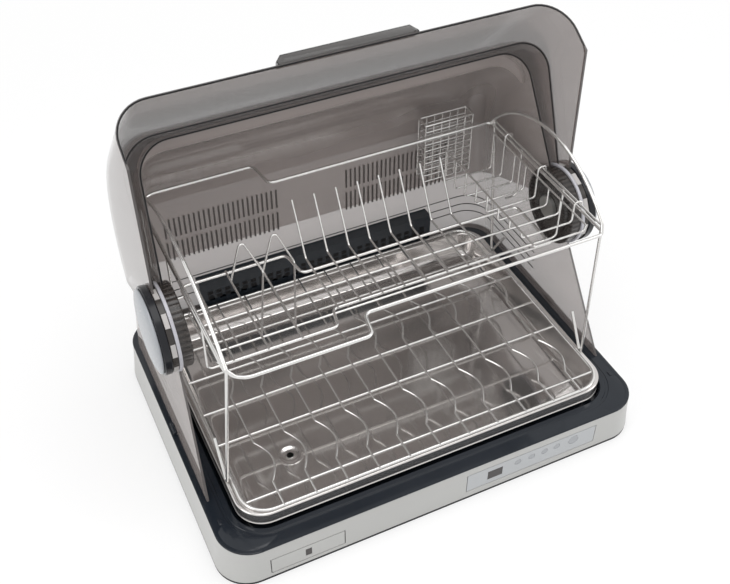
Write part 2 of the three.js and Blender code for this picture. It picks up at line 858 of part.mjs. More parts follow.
function drainSpout() {
  const low = tubHigh + coverThickness / 2;
  const outer = barZ(low, recessUnder - fitGap, drainX, drainY, 2 * drainRadius + wall);
  return outer.subtract(barZ(low - overrun, recessUnder + overrun, drainX, drainY, 2 * drainRadius));
}

// Stainless drip tray: a tub with a flat brim, a folded skirt and a drain hole
function dripTray() {
  const ringAt = (inset, z) => planRing(trayHalfWidth - inset, trayFront + inset, trayBack - inset,
    trayCorner - inset, z);
  const under = trayRim - trayWall;
  const skirtLow = trayRim - traySkirt;
  const outer = loft([ringAt(trayWall, skirtLow), ringAt(0, under), ringAt(0, trayRim)], inPlan);
  const outerSpace = loft([ringAt(2 * trayWall, skirtLow - overrun), ringAt(trayWall, under)], inPlan);
  const foot = trayBrim + trayTaper;
  const tub = loft([ringAt(foot - trayWall, trayBottom), ringAt(trayBrim - trayWall, trayRim)], inPlan);
  const space = loft([ringAt(foot, trayBottom + trayWall), ringAt(trayBrim, trayRim + overrun)], inPlan);
  const drain = barZ(trayBottom - overrun, trayBottom + overrun, drainX, drainY, drainRadius);
  return outer.subtract(outerSpace).add(tub).subtract(space).subtract(drain);
}

// Lower rack: a rim wire on the tray, bars across, and wires from front to back that wave sideways
function lowerRack() {
  const half = trayHalfWidth - rackSideInset;
  const front = trayFront + rackEndInset;
  const back = trayBack - rackEndInset;
  const parts = [wire(planRing(half, front, back, trayCorner - rackEndInset, lowerRackZ), rimWire, true)];
  const barZs = lowerRackZ - rimWire / 2;
  for (const share of rackBarShares) {
    const y = front + (back - front) * share;
    parts.push(wire([at(-half, y, barZs), at(half, y, barZs)], barWire));
  }
  const top = barZs + barWire + thinWire / 2;
  for (let i = 0; i < waveCount; i++) {
    const x = waveFirst + i * wavePitch;
    const path = [at(x, front, top)];
    for (let row = 0; row < waveRows; row++) {
      const start = waveStart + row * waveRowPitch;
      for (const [along, aside] of waveShares) {
        path.push(at(x + waveSwing * aside, start + waveLength * along, top));
      }
    }
    path.push(at(x, back, top));
    parts.push(wire(path, thinWire));
  }
  return join(parts);
}

// A point of the upper rack's top frame, cut inwards from one of its corners
function cornerPoint(side, end, way, bend) {
  const cut = bend * (1 - Math.SQRT1_2);
  return at(side * (upperHalfWidth - cut), end + way * cut, upperTop);
}

// The upper rack's top frame: one closed loop, stepped in front and behind, with wide bends at its left
function topFrame() {
  const x = upperHalfWidth;
  const z = upperTop;
  const middle = (deepFront + deepBack) / 2;
  const path = rounded([
    at(-x, middle, z),
    at(-x, deepBack - wideBend, z),
    cornerPoint(-1, deepBack, -1, wideBend),
    at(wideBend - x, deepBack, z),
    at(rearStepX - frameWire, deepBack, z),
    at(rearStepX + frameWire, shallowBack, z),
    at(x, shallowBack, z),
    at(x, shallowFront, z),
    at(frontStepX + frameWire, shallowFront, z),
    at(frontStepX - frameWire, deepFront, z),
    at(wideBend - x, deepFront, z),
    cornerPoint(-1, deepFront, 1, wideBend),
    at(-x, deepFront + wideBend, z),
    at(-x, middle, z),
  ], stepBend, 1);
  path.pop();
  return wire(path, frameWire, true);
}

// A round arch over one side of the top frame, from its front corner to its rear corner
function sideArch(side, front, back, bend) {
  const half = (back - front) / 2;
  const radius = (half * half + archRise * archRise) / (2 * archRise);
  const path = [cornerPoint(side, front, 1, bend)];
  for (let i = 0; i <= archSteps; i++) {
    const along = half * archEndShare * Math.sin((Math.PI / 2) * ((2 * i) / archSteps - 1));
    const rise = archRise - radius + Math.sqrt(radius * radius - along * along);
    path.push(at(side * upperHalfWidth, (front + back) / 2 + along, upperTop + rise));
  }
  path.push(cornerPoint(side, back, -1, bend));
  return path;
}

// One side of the upper rack: an arch, a thin rail under it, two hangers for the floor and two legs
function rackSide(side, front, back, bend, floorFront) {
  const x = side * upperHalfWidth;
  const path = sideArch(side, front, back, bend);
  const first = path[1];
  const last = path[path.length - 2];
  const railZ = upperTop + sideRailDrop;
  const parts = [
    wire(path, frameWire, false, archSides),
    wire([at(x, first.y, railZ), at(x, last.y, railZ)], thinWire),
  ];
  for (const y of [floorFront, plateBendY]) {
    parts.push(wire(rounded([
      at(x, y, railZ),
      at(x, y, upperFloor + floorInset),
      at(side * (floorReach - frameWire), y, upperFloor),
    ], floorInset / 2, 1), thinWire));
  }
  const footX = side * footHalfWidth;
  for (const [top, y, way] of [[first, legFrontY, 1], [last, legBackY, -1]]) {
    parts.push(wire([
      top,
      at(footX, y, footZ),
      at(footX, y + way * 2 * frameWire, footZ),
      at(footX, y + way * footReturn, footZ + footRise),
    ], legWire));
  }
  return parts;
}

// The floor's rim: a closed loop with the same steps as the top frame
function floorLoop() {
  const x = floorReach;
  const z = upperFloor;
  const middle = (floorRailFront + floorRailBack) / 2;
  const path = rounded([
    at(-x, middle, z),
    at(-x, floorRailBack, z),
    at(rearStepX - frameWire, floorRailBack, z),
    at(rearStepX + frameWire, floorRailBack - floorBackStep, z),
    at(x, floorRailBack - floorBackStep, z),
    at(x, floorRailFront + floorRailStep, z),
    at(frontStepX + frameWire, floorRailFront + floorRailStep, z),
    at(frontStepX - frameWire, floorRailFront, z),
    at(-x, floorRailFront, z),
    at(-x, middle, z),
  ], stepBend, 1);
  path.pop();
  return wire(path, legWire, true);
}

// Upper rack: arched side frames on legs, a stepped top frame and floor, leaning plate wires at
// the right, and at the left floor wires with two peaks between which cups stand
function upperRack() {
  const parts = [
    topFrame(),
    floorLoop(),
    ...rackSide(-1, deepFront, deepBack, wideBend, floorRailFront),
    ...rackSide(1, shallowFront, shallowBack, stepBend, floorRailFront + floorRailStep),
  ];
  const middleBarY = floorRailFront + middleBarRun;
  for (const y of [middleBarY, floorRailFront + thinBarRun]) {
    parts.push(wire([at(-floorReach, y, upperFloor), at(floorReach, y, upperFloor)], thinWire));
  }
  const floorTop = upperFloor + thinWire;
  for (let i = 0; i < plateCount; i++) {
    const x = plateFirst + i * platePitch;
    parts.push(wire([
      at(x, floorRailFront + floorRailStep - frameWire, floorTop),
      at(x, plateBendY, floorTop),
      at(x, plateBendY + plateLean, upperTop - frameWire),
    ], thinWire));
  }
  for (let i = 0; i < cupCount; i++) {
    const x = cupFirst + i * cupPitch;
    const ends = [floorRailFront - thinWire, floorRailBack + thinWire];
    parts.push(wire(ends.map((y) => at(x, y, floorTop)), thinWire));
    if (i > 0) {
      parts.push(wire(rounded([
        at(x, floorRailBack, floorTop),
        at(x, plateBendY, floorTop),
        at(x + cupPitch * cupPeakShare, plateBendY, floorTop + cupPeak),
        at(x + cupPitch, plateBendY, floorTop),
        at(x, middleBarY, floorTop),
        at(x, floorRailFront, floorTop),
      ], 2 * thinWire, 1), thinWire));
    }
  }
  return join(parts);
}

// Utensil basket: U-shaped wires between two long rails, deeper towards the back
function utensilBasket() {
  const high = upperTop - frameWire - basketWire - fitGap;
  const leftTop = high - basketLeftDrop;
  const pitch = (basketBack - basketFront) / (basketWires - 1);
  const parts = [[basketRight, high], [basketLeft, leftTop]].map(([x, z]) =>
    wire([at(x, basketFront - basketWire, z), at(x, basketBack + basketWire, z)], basketWire));
  for (let i = 0; i < basketWires; i++) {
    const y = basketFront + i * pitch;
    const low = high - basketFrontDrop - (basketBackDrop - basketFrontDrop) * (i / (basketWires - 1));
    parts.push(wire(rounded([
      at(basketLeft, y, leftTop),
      at(basketLeft, y, low),
      at(basketRight, y, low),
      at(basketRight, y, high),
    ], 2 * basketWire, 1), basketWire));
  }
  const hookZ = upperTop + sideRailDrop + thinWire * Math.SQRT1_2 + fitGap + basketWire * Math.SQRT1_2;
  const hookX = upperHalfWidth + thinWire + 2 * basketWire;
  for (const place of basketHooks) {
    const y = basketFront + place * pitch;
    parts.push(wire([
      at(basketRight, y, high),
      at(basketRight, y, hookZ),
      at(hookX, y, hookZ),
      at(hookX, y, hookZ - basketHookDrop),
    ], basketWire));
  }
  return join(parts);
}

// Cutlery holder: an open box of fine wires, drawn here as a thin-walled box with windows
function cutleryHolder() {
  const front = shallowBack + frameWire * Math.SQRT1_2 + fitGap;
  const top = upperTop + holderTopRise;
  const low = top - holderHeight;
  const right = holderLeft + holderWidth;
  const back = front + holderDepth;
  let box = block(holderLeft, right, front, back, low, top);
  box = box.subtract(block(holderLeft + holderWall, right - holderWall, front + holderWall,
    back - holderWall, low + holderWall, top + overrun));
  const windows = 5;
  const rows = 4;
  const barWidth = 2.5;
  const pitchX = (holderWidth - 2 * barWidth) / windows;
  const pitchZ = (holderHeight - 2 * barWidth) / rows;
  for (let i = 0; i < windows; i++) {
    for (let j = 0; j < rows; j++) {
      const x = holderLeft + barWidth + i * pitchX;
      const z = low + barWidth + j * pitchZ;
      box = box.subtract(block(x + barWidth / 2, x + pitchX - barWidth / 2, front - overrun, back + overrun,
        z + barWidth / 2, z + pitchZ - barWidth / 2));
    }
  }
  return box;
}

// Rear cover: back wall, curved roof with a raised rim band, drafted sides and the hub bosses
const shoulderPower = 4 / 3;
const roofSteps = 7;
const bandSteps = 2;
const bossDepth = 12;
const bossProud = 2;
const overrunAngle = 8;

function rearProfile(low) {
  const radiusAt = (angle) => {
    if (angle >= bandStartAngle) {
      return rimRadius;
    }
    return rearRadius - rearShoulderDrop * Math.pow(Math.max(angle, 0) / bandStartAngle, shoulderPower);
  };
  const wallPoints = [low, (low + hubZ) / 2].map((z) => ({ y: coverBack, z, inY: -1, inZ: 0 }));
  const roof = arcProfile(0, bandRampAngle, radiusAt, roofSteps);
  const band = arcProfile(bandStartAngle, rimAngle, radiusAt, bandSteps);
  return [...wallPoints, ...roof, ...band];
}

function rearCover() {
  const low = deckTop + fitGap;
  const tip = { y: rearTipFront, z: low };
  const knee = { y: splitAtHub, z: hubZ };
  const outer = drum(rearProfile(low), [knee, tip], coverWidthAt, rearCorner, 0);
  const ahead = 60;
  const innerProfile = rearProfile(low - overrun);
  const beyond = arcProfile(rimAngle, rimAngle + overrunAngle, () => rimRadius, 1).slice(1);
  const innerClosing = [{ y: knee.y - ahead, z: knee.z }, { y: tip.y - ahead, z: low - overrun }];
  const inner = drum([...innerProfile, ...beyond], innerClosing, coverWidthAt, rearCorner, wall);
  let cover = outer.subtract(inner);
  for (const side of [-1, 1]) {
    const wallX = coverWidthAt(hubZ);
    const from = side > 0 ? wallX - bossDepth : -wallX - bossProud;
    const to = from + bossDepth + bossProud;
    const boss = barX(from, to, hubBack, hubZ, hubRadius - bossProud);
    cover = cover.add(boss).subtract(barX(from - overrun, to + overrun, hubBack, hubZ, hubBore));
  }
  const zLow = deckTop + ventRise;
  for (const side of [-1, 1]) {
    for (let row = 0; row < 2; row++) {
      for (let i = 0; i < ventCount; i++) {
        const x = side * (ventFirst + i * ventPitch);
        const z = zLow + row * (ventHeight + ventGap);
        cover = cover.subtract(block(x - ventWidth / 2, x + ventWidth / 2, coverBack - wall - overrun,
          coverBack + overrun, z, z + ventHeight));
      }
    }
  }
  return cover;
}

// Middle cover: a plain arc with side walls that turn about the hubs
function midCover() {
  const width = () => midHalfWidth;
  const steps = 6;
  const profile = arcProfile(midStartAngle, midEndAngle, () => midRadius, steps);
  const hub = { y: hubBack, z: hubZ };
  const outer = drum(profile, [hub], width, doorCorner, 0);
  const innerStart = midStartAngle - overrunAngle;
  const innerProfile = arcProfile(innerStart, midEndAngle + overrunAngle, () => midRadius, steps + 2);
  const away = onDrum((midStartAngle + midEndAngle) / 2 + 2 * quarterTurn, midRadius / 2);
  const inner = drum(innerProfile, [away], width, doorCorner, wall);
  return hubEyes(outer.subtract(inner), midHalfWidth, hubRadius - wall);
}

// A shell's round eyes at the hubs: a disc on each side wall, bored for the pin
function hubEyes(shell, half, radius) {
  let whole = shell;
  for (const side of [-1, 1]) {
    const from = side > 0 ? half - wall : -half;
    whole = whole.add(barX(from, from + wall, hubBack, hubZ, radius));
    whole = whole.subtract(barX(from - overrun, from + wall + overrun, hubBack, hubZ, hubBore));
  }
  return whole;
}

// Turns a solid from the closed pose, in which the door is drawn, to the open one
function opened(solid) {
  return solid.translate([0, -hubBack, -hubZ]).rotate([-doorSweep, 0, 0]).translate([0, hubBack, hubZ]);
}

// Front door, drawn closed: an arc over the top, then straight down to its edge at the front
const edgeZ = deckTop + doorEdgeGap;

function doorTangent() {
  const edge = { y: doorEdgeFront - hubBack, z: edgeZ - hubZ };
  const reach = Math.hypot(edge.y, edge.z);
  const bearing = THREE.MathUtils.radToDeg(Math.atan2(edge.z, edge.y)) + 4 * quarterTurn;
  return bearing - THREE.MathUtils.radToDeg(Math.acos(doorRadius / reach));
}

function frontDoor() {
  const width = () => doorHalfWidth;
  const tangent = doorTangent();
  const lift = THREE.MathUtils.degToRad(doorLeadAngle - tangent);
  const turn = THREE.MathUtils.degToRad(tangent);
  const edgePlace = onDrum(doorLeadAngle, doorRadius / Math.cos(lift));
  const end = { ...edgePlace, inY: -Math.cos(turn), inZ: -Math.sin(turn) };
  const hub = { y: hubBack, z: hubZ };
  const steps = 7;
  const round = arcProfile(doorTrailAngle, tangent, () => doorRadius, steps);
  const outer = drum([...round, end], [hub], width, doorCorner, 0);
  const aside = 100;
  const within = arcProfile(doorTrailAngle - overrunAngle, tangent, () => doorRadius, steps + 1);
  const inner = drum([...within, end], [{ y: end.y + aside, z: end.z }, { y: hubBack + aside, z: hubZ }],
    width, doorCorner, wall);
  let door = outer.subtract(inner);
  const below = block(-baseWidth, baseWidth, -baseDepth, baseDepth, -baseDepth, edgeZ);
  const behind = [hub, onDrum(doorLeadAngle, baseDepth), onDrum(doorLeadAngle + quarterTurn, baseDepth)];
  const wedge = loft([-baseWidth, baseWidth].map((x) => behind.map((p) => at(x, p.y, p.z))), inSide);
  door = door.subtract(below).subtract(wedge);
  return opened(hubEyes(door, doorHalfWidth, hubRadius - wall / 2));
}

// Handle strip: a lipped bar with sloped ends outside the door's free edge
function doorHandle() {
  const tangent = THREE.MathUtils.degToRad(doorTangent());
  const run = Math.tan(tangent + Math.PI / 2);
  const inner = doorEdgeFront - fitGap;
  const half = handleLength / 2;
  const tipHighShare = 0.45;
  const tipLowShare = 0.28;
  const outlineAt = (x) => {
    const out = Math.abs(x) > half - handleSlope ? handleDepth / 2 : handleDepth;
    const face = (z) => inner + (z - edgeZ) / run;
    const tipHigh = edgeZ + handleHeight * tipHighShare;
    const tipLow = edgeZ + handleHeight * tipLowShare;
    return [
      at(x, face(edgeZ), edgeZ), at(x, face(edgeZ + handleHeight), edgeZ + handleHeight),
      at(x, face(tipHigh) - out, tipHigh), at(x, face(tipLow) - out, tipLow),
    ];
  };
  const rings = [-half, handleSlope - half, half - handleSlope, half].map(outlineAt);
  return opened(loft(rings, inSide));
}

// Hub pin, black ring and domed cap on one side
function hubPin(side) {
  const head = 4;
  const headShare = 1.7;
  const inside = coverWidthAt(hubZ) - bossDepth - fitGap;
  const outside = doorHalfWidth + hubDepth;
  const pin = barX(inside - head / 2, outside, hubBack, hubZ, hubPinRadius);
  const flange = barX(inside - head, inside, hubBack, hubZ, hubPinRadius * headShare);
  const whole = pin.add(flange);
  return side > 0 ? whole : whole.mirror([1, 0, 0]);
}

const hubDepth = 8;
const capDome = 7.5;
const capEdgeShare = 0.25;

function hubRing(side) {
  const from = doorHalfWidth + fitGap;
  const outer = barX(from, from + hubDepth, hubBack, hubZ, hubRadius, hubRadius - wall / 2);
  const ring = outer.subtract(barX(from - overrun, from + hubDepth + overrun, hubBack, hubZ, hubBore));
  return side > 0 ? ring : ring.mirror([1, 0, 0]);
}

function hubCap(side) {
  const base = doorHalfWidth + hubDepth + 2 * fitGap;
  const radius = hubRadius - wall;
  const steps = 5;
  const edge = capDome * capEdgeShare;
  const profile = [new THREE.Vector2(0, 0), new THREE.Vector2(radius, 0), new THREE.Vector2(radius, edge)];
  for (let i = 1; i <= steps; i++) {
    const turn = (Math.PI / 2) * (i / steps);
    profile.push(new THREE.Vector2(radius * Math.cos(turn), edge + (capDome - edge) * Math.sin(turn)));
  }
  profile[profile.length - 1].x = 0;
  const geometry = new THREE.LatheGeometry(profile, circleSteps);
  geometry.rotateZ(-Math.PI / 2).translate(base, hubBack, hubZ);
  const cap = toSolid(geometry);
  return side > 0 ? cap : cap.mirror([1, 0, 0]);
}

add("base_shell", baseShell(), silver);
add("cord_inlet", cordInlet(), rubber);
add("bottom_cover", bottomCover(), innerPlastic);
add("supply_board", supplyBoard(), board);
coverScrews().forEach((screw, i) => add("cover_screw_" + (i + 1), screw, steel));
for (const [name, x, y] of [
  ["foot_front_left", footInset - halfWidth, footInset],
  ["foot_front_right", halfWidth - footInset, footInset],
  ["foot_rear_left", footInset - halfWidth, baseDepth - footInset],
  ["foot_rear_right", halfWidth - footInset, baseDepth - footInset],
]) {
  add(name, barZ(0, footHeight - fitGap, x, y, footRadius - 1, footRadius), rubber);
}
add("deck", deck(), black);
add("rear_duct", rearDuct(), black);
add("heater", heater(), steel);
add("fan_housing", fanHousing(), innerPlastic);
add("fan_motor", fanMotor(), steel);
add("fan_impeller", impeller(), innerPlastic);
add("control_panel", controlPanel(), paleGrey);
add("display_window", block(displayLeft, displayLeft + displayWidth, 0, panelThickness,
  displayLow, displayLow + displayHeight), darkGlass);
for (const key of keyPlaces()) {
  add(key.name, barY(keyFace, keyFace + keyLength, key.x, keyRow, key.radius), paleGrey);
}
add("control_board", controlBoard(), board);
add("water_drawer", waterDrawer(), silver);
add("drawer_grip", gripBox(0, wall - drawerWall / 2 - fitGap), darkGlass);
add("drawer_rail_left", drawerRail(drawerLeft + drawerWidth / 6), innerPlastic);
add("drawer_rail_right", drawerRail(drawerLeft + (drawerWidth * 5) / 6), innerPlastic);
add("drain_spout", drainSpout(), rubber);
add("drip_tray", dripTray(), steel);
add("lower_rack", lowerRack(), steel);
add("upper_rack", upperRack(), steel);
add("utensil_basket", utensilBasket(), steel);
add("cutlery_holder", cutleryHolder(), steel);
add("rear_cover", rearCover(), smoked);
add("mid_cover", midCover(), smoked);
add("front_door", frontDoor(), smoked);
add("door_handle", doorHandle(), smoked);
for (const [name, side] of [["left", -1], ["right", 1]]) {
  add("hub_pin_" + name, hubPin(side), steel);
  add("hub_ring_" + name, hubRing(side), black);
  add("hub_cap_" + name, hubCap(side), paleGrey);
}

export default cabinet;
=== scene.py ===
import math
import bpy
import bmesh
from mathutils import Matrix, Vector


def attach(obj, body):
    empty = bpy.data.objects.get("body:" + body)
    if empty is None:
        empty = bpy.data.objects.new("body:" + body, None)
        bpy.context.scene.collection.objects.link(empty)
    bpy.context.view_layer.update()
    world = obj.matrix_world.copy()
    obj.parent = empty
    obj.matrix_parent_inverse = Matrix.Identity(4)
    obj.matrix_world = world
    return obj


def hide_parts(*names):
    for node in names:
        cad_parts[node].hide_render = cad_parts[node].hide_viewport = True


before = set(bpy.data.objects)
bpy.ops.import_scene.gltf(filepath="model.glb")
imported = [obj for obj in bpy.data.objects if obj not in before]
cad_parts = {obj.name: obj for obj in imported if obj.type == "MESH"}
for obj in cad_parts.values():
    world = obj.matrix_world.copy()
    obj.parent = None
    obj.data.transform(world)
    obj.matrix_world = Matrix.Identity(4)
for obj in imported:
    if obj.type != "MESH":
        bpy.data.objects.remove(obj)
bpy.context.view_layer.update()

# ---- Camera ----
# The view is from the front left and well above, through a slightly long lens. Its place and
# direction come from the cabinet's own corners in the picture.
view_azimuth = math.radians(-25.39)
view_elevation = math.radians(42.92)
camera_place = Vector((-0.3654, -0.7497, 0.9373))
camera_lens = 50.24
sensor_width = 36.0


def new_object(name, data):
    made = bpy.data.objects.new(name, data)
    bpy.context.scene.collection.objects.link(made)
    return made


camera_data = bpy.data.cameras.new("camera")
camera_data.lens = camera_lens
camera_data.sensor_width = sensor_width
camera_data.sensor_fit = "HORIZONTAL"
camera_data.clip_start = 0.01
camera = new_object("camera", camera_data)
camera.rotation_euler = (math.pi / 2 - view_elevation, 0, view_azimuth)
camera.location = camera_place
bpy.context.scene.camera = camera
bpy.context.scene.view_settings.view_transform = "Standard"


# ---- Room ----
# A white table top under an even white surround. Wide soft lamps stand at the left, at the
# right and overhead, as in a studio for kitchen goods.
class Term:
    """A socket in a node tree, with the arithmetic that this scene uses."""

    def __init__(self, finish, socket):
        self.finish = finish
        self.socket = socket

    def math(self, operation, *others):
        inputs = dict(enumerate((self, *others)))
        return self.finish.node("ShaderNodeMath", inputs, operation=operation)["Value"]

    def __add__(self, other):
        return self.math("ADD", other)

    __radd__ = __add__

    def __mul__(self, other):
        return self.math("MULTIPLY", other)

    __rmul__ = __mul__

    def __sub__(self, other):
        return self.math("SUBTRACT", other)

    def __rsub__(self, other):
        return (self * -1) + other

    def __pow__(self, other):
        return self.math("POWER", other)


class Outlets:
    """The outputs of one node, read by name."""

    def __init__(self, finish, made):
        self.finish = finish
        self.made = made

    def __getitem__(self, name):
        return Term(self.finish, self.made.outputs[name])


class Finish:
    """A material or a world, built node by node."""

    def __init__(self, owner):
        self.owner = owner
        owner.use_nodes = True
        self.tree = owner.node_tree
        self.tree.nodes.clear()

    def node(self, kind, inputs=None, **settings):
        made = self.tree.nodes.new(kind)
        for name, value in settings.items():
            setattr(made, name, value)
        for name, value in (inputs or {}).items():
            if isinstance(value, Term):
                self.tree.links.new(value.socket, made.inputs[name])
            else:
                made.inputs[name].default_value = value
        return Outlets(self, made)

    def mix(self, amount, first, second):
        made = self.node("ShaderNodeMix", {0: amount, 6: (*first, 1), 7: (*second, 1)}, data_type="RGBA")
        return Term(self, made.made.outputs[2])

    def place(self):
        return self.node("ShaderNodeTexCoord")["Object"]

    def noise(self, place, scale, detail):
        return self.node("ShaderNodeTexNoise", {"Vector": place, "Scale": scale, "Detail": detail})["Fac"]

    def bump(self, height, strength, distance):
        inputs = {"Height": height, "Strength": strength, "Distance": distance}
        return self.node("ShaderNodeBump", inputs)["Normal"]

    def seen(self):
        """One where it is seen, also in a mirror or through a clear wall; zero where it only lights."""
        path = self.node("ShaderNodeLightPath")
        mirrored = path["Is Camera Ray"].math("MAXIMUM", path["Is Glossy Ray"])
        return mirrored.math("MAXIMUM", path["Is Transmission Ray"])

    def shown(self, shader):
        self.node("ShaderNodeOutputMaterial", {"Surface": shader})
        return self.owner

    def surface(self, inputs):
        return self.shown(self.node("ShaderNodeBsdfPrincipled", inputs)["BSDF"])


surround = Finish(bpy.data.worlds.new("surround"))
bpy.context.scene.world = surround.owner
surround_light = 0.8
sky_strength = surround.seen() * (1 - surround_light) + surround_light
sky = surround.node("ShaderNodeBackground", {"Color": (1, 1, 1, 1), "Strength": sky_strength})
surround.node("ShaderNodeOutputWorld", {"Surface": sky["Background"]})

floor_half = 4.0
floor_mesh = bpy.data.meshes.new("table_top")
floor_mesh.from_pydata([(-floor_half, -floor_half, 0), (floor_half, -floor_half, 0),
                        (floor_half, floor_half, 0), (-floor_half, floor_half, 0)], [], [(0, 1, 2, 3)])
table_top = new_object("table_top", floor_mesh)
table_finish = Finish(bpy.data.materials.new("white_table"))
table_colour = (0.92, 0.92, 0.92, 1)
glow_near, glow_far, glow_least = 0.5, 1.4, 0.6
table_diffuse = table_finish.node("ShaderNodeBsdfDiffuse", {"Color": table_colour})
table_glow = table_finish.node("ShaderNodeEmission", {"Color": (1, 1, 1, 1), "Strength": 1.0})
table_reach = table_finish.node("ShaderNodeVectorMath", {0: table_finish.place()}, operation="LENGTH")
table_share = table_finish.node("ShaderNodeMapRange", {
    "Value": table_reach["Value"], "From Min": glow_near, "From Max": glow_far, "To Min": glow_least,
    "To Max": 1.0})["Result"]
table_mix = table_finish.node("ShaderNodeMixShader", {
    0: table_finish.seen() * table_share, 1: table_diffuse["BSDF"], 2: table_glow["Emission"]})
floor_mesh.materials.append(table_finish.shown(table_mix["Shader"]))


def softbox(name, place, target, width, height, power):
    lamp = bpy.data.lights.new(name, "AREA")
    lamp.shape = "RECTANGLE"
    lamp.size = width
    lamp.size_y = height
    lamp.energy = power
    holder = new_object(name, lamp)
    holder.location = place
    holder.rotation_euler = (Vector(target) - Vector(place)).to_track_quat("-Z", "Y").to_euler()


middle = (0, 0, 0.18)
softbox("overhead_softbox", (0.1, -0.2, 1.9), middle, 1.6, 1.2, 12)
softbox("left_softbox", (-1.8, -0.4, 1.1), middle, 0.9, 1.4, 9)
softbox("right_softbox", (1.7, -0.9, 1.2), middle, 0.8, 1.3, 7)


# ---- Base band ----
# The base is wrapped in one satin silver moulding that spreads a little to its lower edge. It is
# open above for the deck, and cut in front for the drawer and for the control panel. Black bars
# behind the gaps round those two are painted shade, and a dark ring under the band is a painted
# shadow along its lower edge.
body_front = -0.1916
body_back = 0.1794
band_half = 0.251
band_spread = 0.005
band_corner = 0.038
band_low = 0.004
band_high = 0.05175
band_wall = 0.0025
cut_depth = 0.01
corner_steps = 14
drawer_cut = (-0.2070, -0.1230, 0.0090, 0.0330)
panel_cut = (0.0222, 0.1898, 0.0132, 0.0418)


def evenly(first, last, steps):
    """Numbers at even steps, with both ends."""
    return [first + (last - first) * step / steps for step in range(steps + 1)]


def quarter(x, y, start, radius, z, steps=8):
    """Points of a quarter bend about a centre."""
    turns = [math.radians(angle) for angle in evenly(start, start + 90, steps)]
    return [(x + radius * math.cos(turn), y + radius * math.sin(turn), z) for turn in turns]


def plan_ring(half, front, back, corner, height, steps=corner_steps):
    """A rectangle with round corners, level at a height."""
    corners = ((half - corner, front + corner, -90), (half - corner, back - corner, 0),
               (corner - half, back - corner, 90), (corner - half, front + corner, 180))
    return [spot for x, y, start in corners for spot in quarter(x, y, start, corner, height, steps)]


def skin(name, rings, close_first=False, close_last=False, closed=True):
    """A surface through rings of equally many points; a closed ring's last point joins its first."""
    count = len(rings[0])
    points = [point for ring in rings for point in ring]
    faces = []
    for row in range(len(rings) - 1):
        for i in range(count if closed else count - 1):
            j = (i + 1) % count
            faces.append((row * count + i, row * count + j, (row + 1) * count + j, (row + 1) * count + i))
    if close_first:
        faces.append(tuple(reversed(range(count))))
    if close_last:
        faces.append(tuple(range((len(rings) - 1) * count, len(rings) * count)))
    mesh = bpy.data.meshes.new(name)
    mesh.from_pydata(points, [], faces)
    mesh.update()
    return mesh


def smooth(mesh, angle=35):
    for polygon in mesh.polygons:
        polygon.use_smooth = True
    mesh.set_sharp_from_angle(angle=math.radians(angle))


def outward(mesh):
    work = bmesh.new()
    work.from_mesh(mesh)
    bmesh.ops.remove_doubles(work, verts=work.verts, dist=1e-6)
    bmesh.ops.recalc_face_normals(work, faces=work.faces)
    work.to_mesh(mesh)
    work.free()


def mesh_of(work, name):
    mesh = bpy.data.meshes.new(name)
    work.to_mesh(mesh)
    work.free()
    return mesh


def bar_mesh(name, boxes):
    """Plain boxes, used as cutters and as small mouldings: (x0, x1, y0, y1, z0, z1) each."""
    work = bmesh.new()
    for x0, x1, y0, y1, z0, z1 in boxes:
        made = bmesh.ops.create_cube(work, size=1)["verts"]
        bmesh.ops.scale(work, vec=(x1 - x0, y1 - y0, z1 - z0), verts=made)
        bmesh.ops.translate(work, vec=((x0 + x1) / 2, (y0 + y1) / 2, (z0 + z1) / 2), verts=made)
    return mesh_of(work, name)


def settle(piece):
    """Turns a piece's modifiers into its mesh."""
    graph = bpy.context.evaluated_depsgraph_get()
    mesh = bpy.data.meshes.new_from_object(piece.evaluated_get(graph))
    piece.modifiers.clear()
    piece.data = mesh
    return piece


def changed(piece, kind, **settings):
    """Puts one modifier on a piece and settles it."""
    change = piece.modifiers.new(kind.lower(), kind)
    for name, value in settings.items():
        setattr(change, name, value)
    return settle(piece)


def cut(piece, boxes):
    cutter = new_object("cutter", bar_mesh("cutter", boxes))
    changed(piece, "BOOLEAN", operation="DIFFERENCE", solver="EXACT", object=cutter)
    bpy.data.objects.remove(cutter)


def coat(piece, material):
    piece.data.materials.clear()
    piece.data.materials.append(material)


def satin_plastic(name, colour, roughness, grain=700, depth=0.01, shine=0.5):
    """Moulded plastic with a fine grain and a faint, broad change of shade."""
    finish = Finish(bpy.data.materials.new(name))
    place = finish.place()
    fine = finish.noise(place, grain, 3.0)
    shade = tuple(part * 0.93 for part in colour)
    return finish.surface({
        "Base Color": finish.mix(finish.noise(place, 9.0, 2.0), shade, colour),
        "Roughness": fine * 0.08 + (roughness - 0.04),
        "Normal": finish.bump(fine, depth, 0.0004), "Specular IOR Level": shine})


def dress(name, material):
    """Gives a CAD node a material in every slot."""
    mesh = bpy.data.objects[name].data
    if not mesh.materials:
        mesh.materials.append(material)
    for place in range(len(mesh.materials)):
        mesh.materials[place] = material


satin_silver = satin_plastic("satin_silver", (0.46, 0.46, 0.447), 0.36, 900, 0.02)

band_profile = ((0, 1.0), (0.03, 1.0), (0.3, 0.62), (0.6, 0.3), (0.85, 0.08), (1, 0))
band_rows = [plan_ring(band_half + band_spread * spread, body_front, body_back, band_corner,
                       band_low + (band_high - band_low) * share) for share, spread in band_profile]
base_band = new_object("base_band", skin("base_band", band_rows))
changed(base_band, "SOLIDIFY", thickness=band_wall, offset=-1)
cut(base_band, [(x0, x1, body_front - cut_depth, body_front + cut_depth, z0, z1)
                for x0, x1, z0, z1 in (drawer_cut, panel_cut)])
coat(base_band, satin_silver)
smooth(base_band.data)
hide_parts("base_shell")
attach(base_band, "base")
